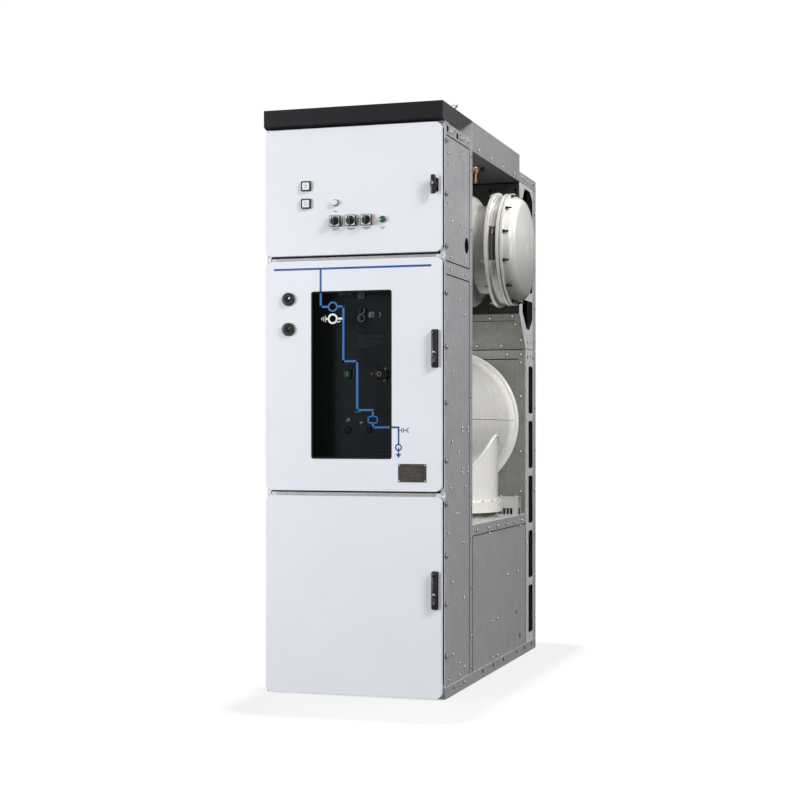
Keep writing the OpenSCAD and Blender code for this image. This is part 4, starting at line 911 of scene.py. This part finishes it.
p.use(BLUE)
for x, z in GLASS_LINES:
    p.box(x, ON_GLASS, z)
p.ring(-91, 1655, glass_mark, 18.5, 7, BLUE, 0.6, 48)
p.ring(-91, 1603.5, glass_mark, 18.5, 8, MARK_WHITE, 0.6, 48)
p.box((-71, -47), ON_GLASS, (1599.5, 1607.5))
p.box((-121, -111), ON_GLASS, (1600, 1607))
p.use(MARK_SOFT)
for k, half in enumerate((14, 10, 5.5)):
    p.box((-126 - 8.5 * k, -121 - 8.5 * k), ON_GLASS, (1603.5 - half, 1603.5 + half))
p.use(MARK_WHITE)
for way in (1, -1):
    p.flat(glass_mark, [(-66, 1586), (-66 + way * 12, 1592), (-66 + way * 10, 1595), (-66, 1590)])
p.done()

p = Piece("inspection_port_rings", BLACK, "middle_door")
port_x = -291
for z, light in ((1690, MARK_WHITE), (1561, MARK_GREY)):
    p.use(BLACK)
    p.boss(port_x, FACE, z, [(28.2, 0), (28.2, 8), (26, 11.5), (21, 12), (20, 10.6), (9, 10.4)], 48)
    p.use(RUBBER).boss(port_x, FACE, z, [(20, 10.7), (14, 11.4), (0, 11.6)], 32)
    p.ring(port_x, z, FACE - 12.2, 17, 2, MARK_DARK, 0.6, 48)
    # a small light dot on each port's lens: a painted glint
    p.use(light).boss(port_x + 6, FACE - 11.6, z + 4, [(4.5, 0), (3, 1.2), (0, 1.6)], 14)
p.done()

p = Piece("nameplate", BRONZE, "middle_door")
plate_x, plate_z = 263.5, 948.5
p.plate(rounded(123, 77, 3), plate_x, plate_z, FACE - 1.6, 1.7)
p.use(MARK_DARK)
p.plate(rounded(115, 69, 2), plate_x, plate_z, FACE - 1.9, 0.4, hole=rounded(112, 66, 1.5))
for k, z in enumerate(row(plate_z + 24, plate_z - 26, 8)):
    p.box((plate_x - 50, plate_x + (44 if k % 3 else 12)), (FACE - 2.0, FACE - 1.5), (z - 0.9, z + 0.9))
p.use(BOLT)
for x in (plate_x - 56, plate_x + 56):
    for z in (plate_z - 33, plate_z + 33):
        p.boss(x, FACE - 1.5, z, [(3.4, -0.2), (3.23, 0.5), (2.04, 1.2), (0, 1.5)], 10)
p.done()

# ---- upper door: indicators, switch plates, buttons' collars, bare labels ----
SWITCH_X = (-78, -7.5, 63, 133.5)
SWITCH_Z = 2018
WHITE_BUTTON_Z = 2096
p = Piece("indicator_lenses", WHITE_PLASTIC, "upper_door")
for z in (2172, 2097):
    for finish, size, r, out, thick, hole in ((BLACK, (43, 43), 5, 9.5, 9.6, rounded(30, 30, 3)),
                                              (WHITE_PLASTIC, (31, 31), 3, 9.8, 2, None),
                                              (MARK_GREY, (9, 12), 3, 10.1, 0.4, rounded(6.5, 9.5, 2))):
        p.use(finish).plate(rounded(*size, r), -210, z, FACE - out, thick, hole)
p.done()

p = Piece("switch_plates", WHITE_PLASTIC, "upper_door")
for x in SWITCH_X[:3]:
    z = SWITCH_Z + 0.5
    p.use(WHITE_PLASTIC)
    p.plate(rounded(43.5, 43.5, 3.5), x, z, FACE - 14.35, 0.9, hole=rounded(12, 12, 5.9))
    p.use(BLACK)
    p.plate(rounded(46.5, 46.5, 4), x, z, FACE - 14.5, 1.2, hole=rounded(42.5, 42.5, 3.5))
    p.ring(x, SWITCH_Z, FACE - 14.5, 17, 5, BLACK, 0.4, 40)
    p.use(MARK_DARK)
    for dx in (-13, 0, 13):
        p.box((x + dx - 3, x + dx + 3), (FACE - 14.6, FACE - 14.2), (2035.5, 2038))
p.use(POLISHED)
for x, z in ((SWITCH_X[3], SWITCH_Z), (SWITCH_X[0], WHITE_BUTTON_Z)):
    p.boss(x, FACE, z, [(15.4, -0.2), (15.4, 5), (14.8, 8.6), (13.4, 9.4), (12.6, 8.4)], 40)
p.use(MARK_DARK)
label = (FACE - 0.3, FACE + 0.2)
for x, w in zip(SWITCH_X, (32, 36, 36, 22)):
    p.box((x - w / 2, x + w / 2), label, (1984, 1987))
    p.box((x - w / 3, x + w / 4), label, (1979, 1981))
p.box((SWITCH_X[0] - 9, SWITCH_X[0] + 8), label, (2059, 2062))
p.done()

# ---- turning and pushing pieces ----
BUTTONS = (("white", WHITE_PLASTIC, SWITCH_X[0], WHITE_BUTTON_Z, 0.4, 0.5),
           ("green", GREEN, SWITCH_X[3], SWITCH_Z, 1.0, 1.4))
for mark, finish, x, z, crown, top in BUTTONS:
    button = mark + "_button"
    p = Piece(mark + "_cap", finish, mark + "_push", mark + "_plastic")
    tip = FRONT + FACE - low(button).y
    p.boss(x, FACE, z, [(11.9, -18), (11.9, tip - 2.4), (11.2, tip - 0.8), (9.6, tip - 0.1),
                        (6, tip + crown), (0, tip + top)], 40)
    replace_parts(p.done(), button)

# the knob's outline, from its right half
KNOB_HALF = [(6.5, -15.5), (7.6, -8), (6.4, 4), (7.0, 11), (5.4, 15.0), (2, 16.2)]
KNOB = KNOB_HALF + [(-x, z) for x, z in reversed(KNOB_HALF)]
knob_back, knob_deep = FACE - 14.4, 21.5
for mark, x in zip(("left", "middle", "right"), SWITCH_X):
    p = Piece(mark + "_knob", BLACK, mark + "_switch", "black_plastic")
    p.boss(x, knob_back, SWITCH_Z, [(15, 0), (15, 4.5), (13.8, 7.4), (12, 7.8), (0, 8)], 36)
    p.plate(KNOB, x, SWITCH_Z, knob_back - knob_deep, knob_deep)
    p.lathe(at(x, knob_back - 1, SWITCH_Z), "y", [(3, 0), (3, 12), (0, 12)], 16)
    p.use(MARK_WHITE)
    p.box((x - 0.8, x + 0.8), (knob_back - knob_deep - 0.3, knob_back - knob_deep + 0.2), (2024, 2033))
    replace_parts(p.done(), mark + "_selector")

HANDLE_X, LATCH_Z = middle("latch_base").x, middle("latch_base").z
SPINDLE_HOLE = rounded(14, 14, 6.9)
p = Piece("latch_trim", BLACK, "upper_door")
p.plate(rounded(30, 58, 6), HANDLE_X, LATCH_Z, FACE - 6.2, 6.3, SPINDLE_HOLE)
p.done()

p = Piece("latch_wing", BLACK, "upper_latch", "black_plastic")
back = FACE - 6.5
p.box((HANDLE_X - 11, HANDLE_X + 11), (back - 30, back - 14), (LATCH_Z - 40, LATCH_Z + 40), 6)
p.box((HANDLE_X - 9, HANDLE_X + 9), (back - 16, back), (LATCH_Z - 24, LATCH_Z + 26), 4)
p.boss(HANDLE_X, back, LATCH_Z, [(13.5, 0.2), (13.5, 26), (12.4, 29), (11, 30.2), (0, 30.4)], 32)
p.lathe(at(HANDLE_X, back - 1, LATCH_Z), "y", [(6, 0), (6, 21), (0, 21)], 20)
p.use(MARK_WHITE)
for way in (1, -1):
    z = LATCH_Z + 5
    p.flat(back - 30.8, [(HANDLE_X - 4, z + way * 7), (HANDLE_X + 4, z), (HANDLE_X + 0.5, z),
                         (HANDLE_X - 7, z + way * 6)])
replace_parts(p.done(), "latch_lever")

for mark in ("middle", "lower"):
    base, lever = mark + "_handle_base", mark + "_handle_lever"
    z0, z1 = low(base).z, high(base).z
    p = Piece(mark + "_handle_trim", BLACK, mark + "_door")
    p.plate(rounded(29, z1 - z0 + 1, 7), HANDLE_X, (z0 + z1) / 2, FACE - 6.1, 6.2, SPINDLE_HOLE)
    p.done()

    p = Piece(mark + "_handle_grip", BLACK, mark + "_handle", "black_plastic")
    out, back = low(lever).y - FRONT, FACE - 6.6
    pivot = z1 - 14
    p.box((HANDLE_X - 12, HANDLE_X + 12), (out, back), (z0 + 2, z1 - 2), 5)
    p.box((HANDLE_X - 8.5, HANDLE_X + 8.5), (out - 0.9, out + 4), (z0 + 10, z1 - 30), 2.5)
    p.boss(HANDLE_X, out + 1, pivot, [(10, 0), (10, 1.4), (8.8, 2.3), (0, 2.5)], 32)
    p.lathe(at(HANDLE_X, back - 1, pivot), "y", [(6, 0), (6, 33), (0, 33)], 20)
    p.box((HANDLE_X - 6, HANDLE_X + 6), (FACE + 6, FACE + 9), (pivot - 34, pivot), 1)
    p.use(MARK_WHITE)
    sign = z0 + 64
    for x in (HANDLE_X + 7, HANDLE_X - 7):
        p.flat(out - 1.2, [(x, sign - 4), (x, sign - 0.5), (HANDLE_X, sign + 6), (HANDLE_X, sign + 1.5)])
    p.ring(HANDLE_X, sign - 22, out - 1.3, 6.2, 1.8, MARK_GREY, 0.6, 28)
    p.box((HANDLE_X - 5, HANDLE_X + 5), (out - 1.3, out - 0.8), (sign - 40, sign - 31))
    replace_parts(p.done(), lever)

# ---- instruments behind the upper door: a row of terminals under two rows of devices ----
plate_low, plate_high = low("instrument_plate"), high("instrument_plate")
plate_d = plate_low.y - FRONT
pitch = (plate_high.z - plate_low.z) / 3
TERMINAL = {"tall": 48, "deep": 44, "widths": (9,), "finishes": (BEIGE_PLASTIC,)}
DEVICE = {"tall": 84, "deep": 62, "widths": (18, 27, 36, 18, 54, 27),
          "finishes": (GREY_PLASTIC, BLACK, WHITE_PLASTIC)}
p = Piece("instruments", GREY_PLASTIC)
for i, kind in enumerate((TERMINAL, DEVICE, DEVICE)):
    z = plate_low.z + (i + 0.5) * pitch
    tall, face = kind["tall"], plate_d - kind["deep"]
    x, k = -280, 0
    while x < 285:
        w = kind["widths"][(k + 2 * i) % len(kind["widths"])]
        p.use(kind["finishes"][(k + i) % len(kind["finishes"])])
        p.box((x + 0.5, x + w - 0.5), (face, plate_d), (z - tall / 2, z + tall / 2), 1.2)
        p.box((x + 0.5 + w * 0.15, x + w * 0.85), (face - 9, face + 2), (z - tall / 5, z + tall / 5), 1)
        p.use(BOLT)
        for way in (-1, 1):
            p.boss(x + w / 2, face, z + way * tall * 0.38, [(2.4, -0.5), (2.4, 0.6), (0, 0.8)], 8)
        x += w
        k += 1
for z in (plate_low.z + pitch, plate_low.z + pitch * 2):
    p.use(GREY_PLASTIC).box((-300, 300), (plate_d - 50, plate_d + 1), (z - 16, z + 16), 1.5)
    p.use(RUBBER)
    for x in row(-292, 292, 60):
        p.box((x - 1.6, x + 1.6), (plate_d - 46, plate_d - 6), (z - 16.4, z + 16.4))
p.done()

p = Piece("wiring", WIRE)
for k, x in enumerate(row(-268, 268, 30)):
    p.use(WIRE_BLUE if k % 4 == 1 else WIRE)
    for i, way, tall in ((0, 1, 48), (1, -1, 84), (1, 1, 84), (2, -1, 84)):
        z = plate_low.z + (i + 0.5) * pitch
        near = z + way * tall * 0.45
        far = z + way * pitch * 0.42
        p.tube([at(x, plate_d - 40, near), at(x, plate_d - 54, near + way * 4), at(x, plate_d - 52, far),
                at(x, plate_d - 28, far + way * 6)], 1.5, 6)
p.use(EARTH)
p.tube([at(-330, 40, 1960), at(-340, 60, 1940), at(-345, 200, 1935), at(-335, plate_d - 10, 1980),
        at(-300, plate_d - 5, 2000)], 3, 8)
p.done()

# ---- inside of the doors: stiffeners and seals ----
back = FACE + 2
for door, stiffeners in (("upper_door", (-330, 300)), ("middle_door", (-355, 330)),
                         ("lower_door", (-330, 0, 300))):
    z0, z1 = low(door).z, high(door).z
    p = Piece(door + "_ribs", WHITE, door)
    for x in stiffeners:
        p.box((x - 14, x + 14), (back - 0.5, back + 9), (z0 + 40, z1 - 40), 1.5)
    p.use(RUBBER)
    w, h = 2 * SIDE - 60, z1 - z0 - 44
    p.plate(rounded(w, h, 10), -3, (z0 + z1) / 2, back - 0.3, 5, hole=rounded(w - 14, h - 14, 6))
    p.done()

# ---- the cable sockets' plugs and the floor's grommets ----
CABLE_X = (-200, 0, 200)
CABLE_HOLE_D = 700
p = Piece("socket_plugs", BLACK)
socket_z = low("cable_neck").z
for x in CABLE_X:
    p.use(BLACK)
    p.lathe(at(x, neck_d, socket_z), "-z", [(58, -0.5), (58, 8), (52, 14), (20, 16), (20, 22), (0, 22)], 36)
    p.use(BOLT)
    for q in circle(46, neck_d, socket_z - 14, 6, x):
        p.lathe(q, "-z", [(5, -1), (5, 4), (0, 5)], 6)
p.done()

p = Piece("floor_grommets", RUBBER)
grommet = [(59.7, -1.5), (64, -1.5), (64, 0), (64, 5), (59.7, 5), (59.7, -1.5)]
for x in CABLE_X:
    p.lathe(at(x, CABLE_HOLE_D, low("floor_plate").z), "z", grommet, 40)
p.done()

# ---- studio, in metres ----
scene = bpy.context.scene
camera = bpy.data.objects.new("camera", bpy.data.cameras.new("camera"))
scene.collection.objects.link(camera)
scene.camera = camera
camera.location = (2.2407, -7.4402, 1.1241)
camera.rotation_euler = (pi / 2, 0, radians(17.247))
camera.data.lens = 73.33
camera.data.sensor_width = 36
camera.data.shift_y = 0.0391
camera.data.clip_end = 200

# the camera sees white, and the light that reaches the part is weaker from below
world = bpy.data.worlds.new("studio")
scene.world = world
world.use_nodes = True
tree = world.node_tree
ground = tree.nodes["Background"]
up = node(tree, "SeparateXYZ", {"Vector": node(tree, "TexCoord", {}, "Generated")}, "Z")
feed(tree, ground, {"Color": (1, 1, 1, 1), "Strength": ramp(tree, up, -0.2, 0.9, 0.08, 0.42)})
white = node(tree, "Background", {"Color": (1, 1, 1, 1), "Strength": 1.0})
show_mix(tree, node(tree, "LightPath", {}, "Is Camera Ray"), ground.outputs[0], white, "World Output")


def softbox(name, place, aim, size, power):
    """A rectangular light that shines from its place to its aim."""
    data = bpy.data.lights.new(name, "AREA")
    data.shape = "RECTANGLE"
    data.size, data.size_y = size
    data.energy = power
    o = bpy.data.objects.new(name, data)
    scene.collection.objects.link(o)
    o.location = place
    o.rotation_euler = (Vector(aim) - Vector(place)).to_track_quat("-Z", "Y").to_euler()


softbox("front", (-7.5, -8.0, 2.1), (0, -0.9, 1.3), (6.0, 3.5), 818)
softbox("right_front", (5.0, -3.5, 5.2), (0.4, -0.2, 1.6), (1.8, 1.8), 245)
softbox("low_right", (6.5, -3.6, 1.5), (0.4, 0.2, 1.3), (2.2, 2.2), 65)
softbox("right", (4.6, 1.5, 4.4), (0.4, 0.2, 1.5), (1.8, 1.8), 65)
softbox("top", (0.9, 0.3, 5.6), (0.3, 0.2, 1.6), (1.6, 1.6), 60)

floor_mesh = bpy.data.meshes.new("floor")
FAR = 30
FLOOR_GREY = (0.16, 0.16, 0.16, 1)
floor_mesh.from_pydata([(-FAR, -FAR, 0), (FAR, -FAR, 0), (FAR, FAR, 0), (-FAR, FAR, 0)], [], [(0, 1, 2, 3)])
floor = bpy.data.objects.new("floor", floor_mesh)
scene.collection.objects.link(floor)
floor.location.z = -0.0005
pale, tree = new_material("floor")
shader = tree.nodes["Principled BSDF"]
feed(tree, shader, {"Base Color": FLOOR_GREY, "Roughness": 0.8})
# the floor glows white, and a little less within 0.36 m of a block under the cabinet and just in front of
# it: a painted soft shadow
away = node(tree, "TexCoord", {}, "Object")
for operation, value in (("SUBTRACT", (0.12, -0.2, 0)), ("ABSOLUTE", (0, 0, 0)),
                         ("SUBTRACT", (0.34, 1.07, 0)), ("MAXIMUM", (0, 0, 0))):
    away = node(tree, "VectorMath", {0: away, 1: value}, operation=operation)
distance = node(tree, "VectorMath", {0: away}, "Value", operation="LENGTH")
strength = ramp(tree, distance, 0.14, 0.36, 0.72, 1.0)
glow = node(tree, "Emission", {"Color": (1, 1, 1, 1), "Strength": strength})
seen = node(tree, "AddShader", {0: shader.outputs[0], 1: glow})
dim = node(tree, "BsdfDiffuse", {"Color": FLOOR_GREY})
show_mix(tree, node(tree, "LightPath", {}, "Is Camera Ray"), dim, seen)
floor_mesh.materials.append(pale)

scene.view_settings.view_transform = "Standard"
scene.view_settings.look = "None"
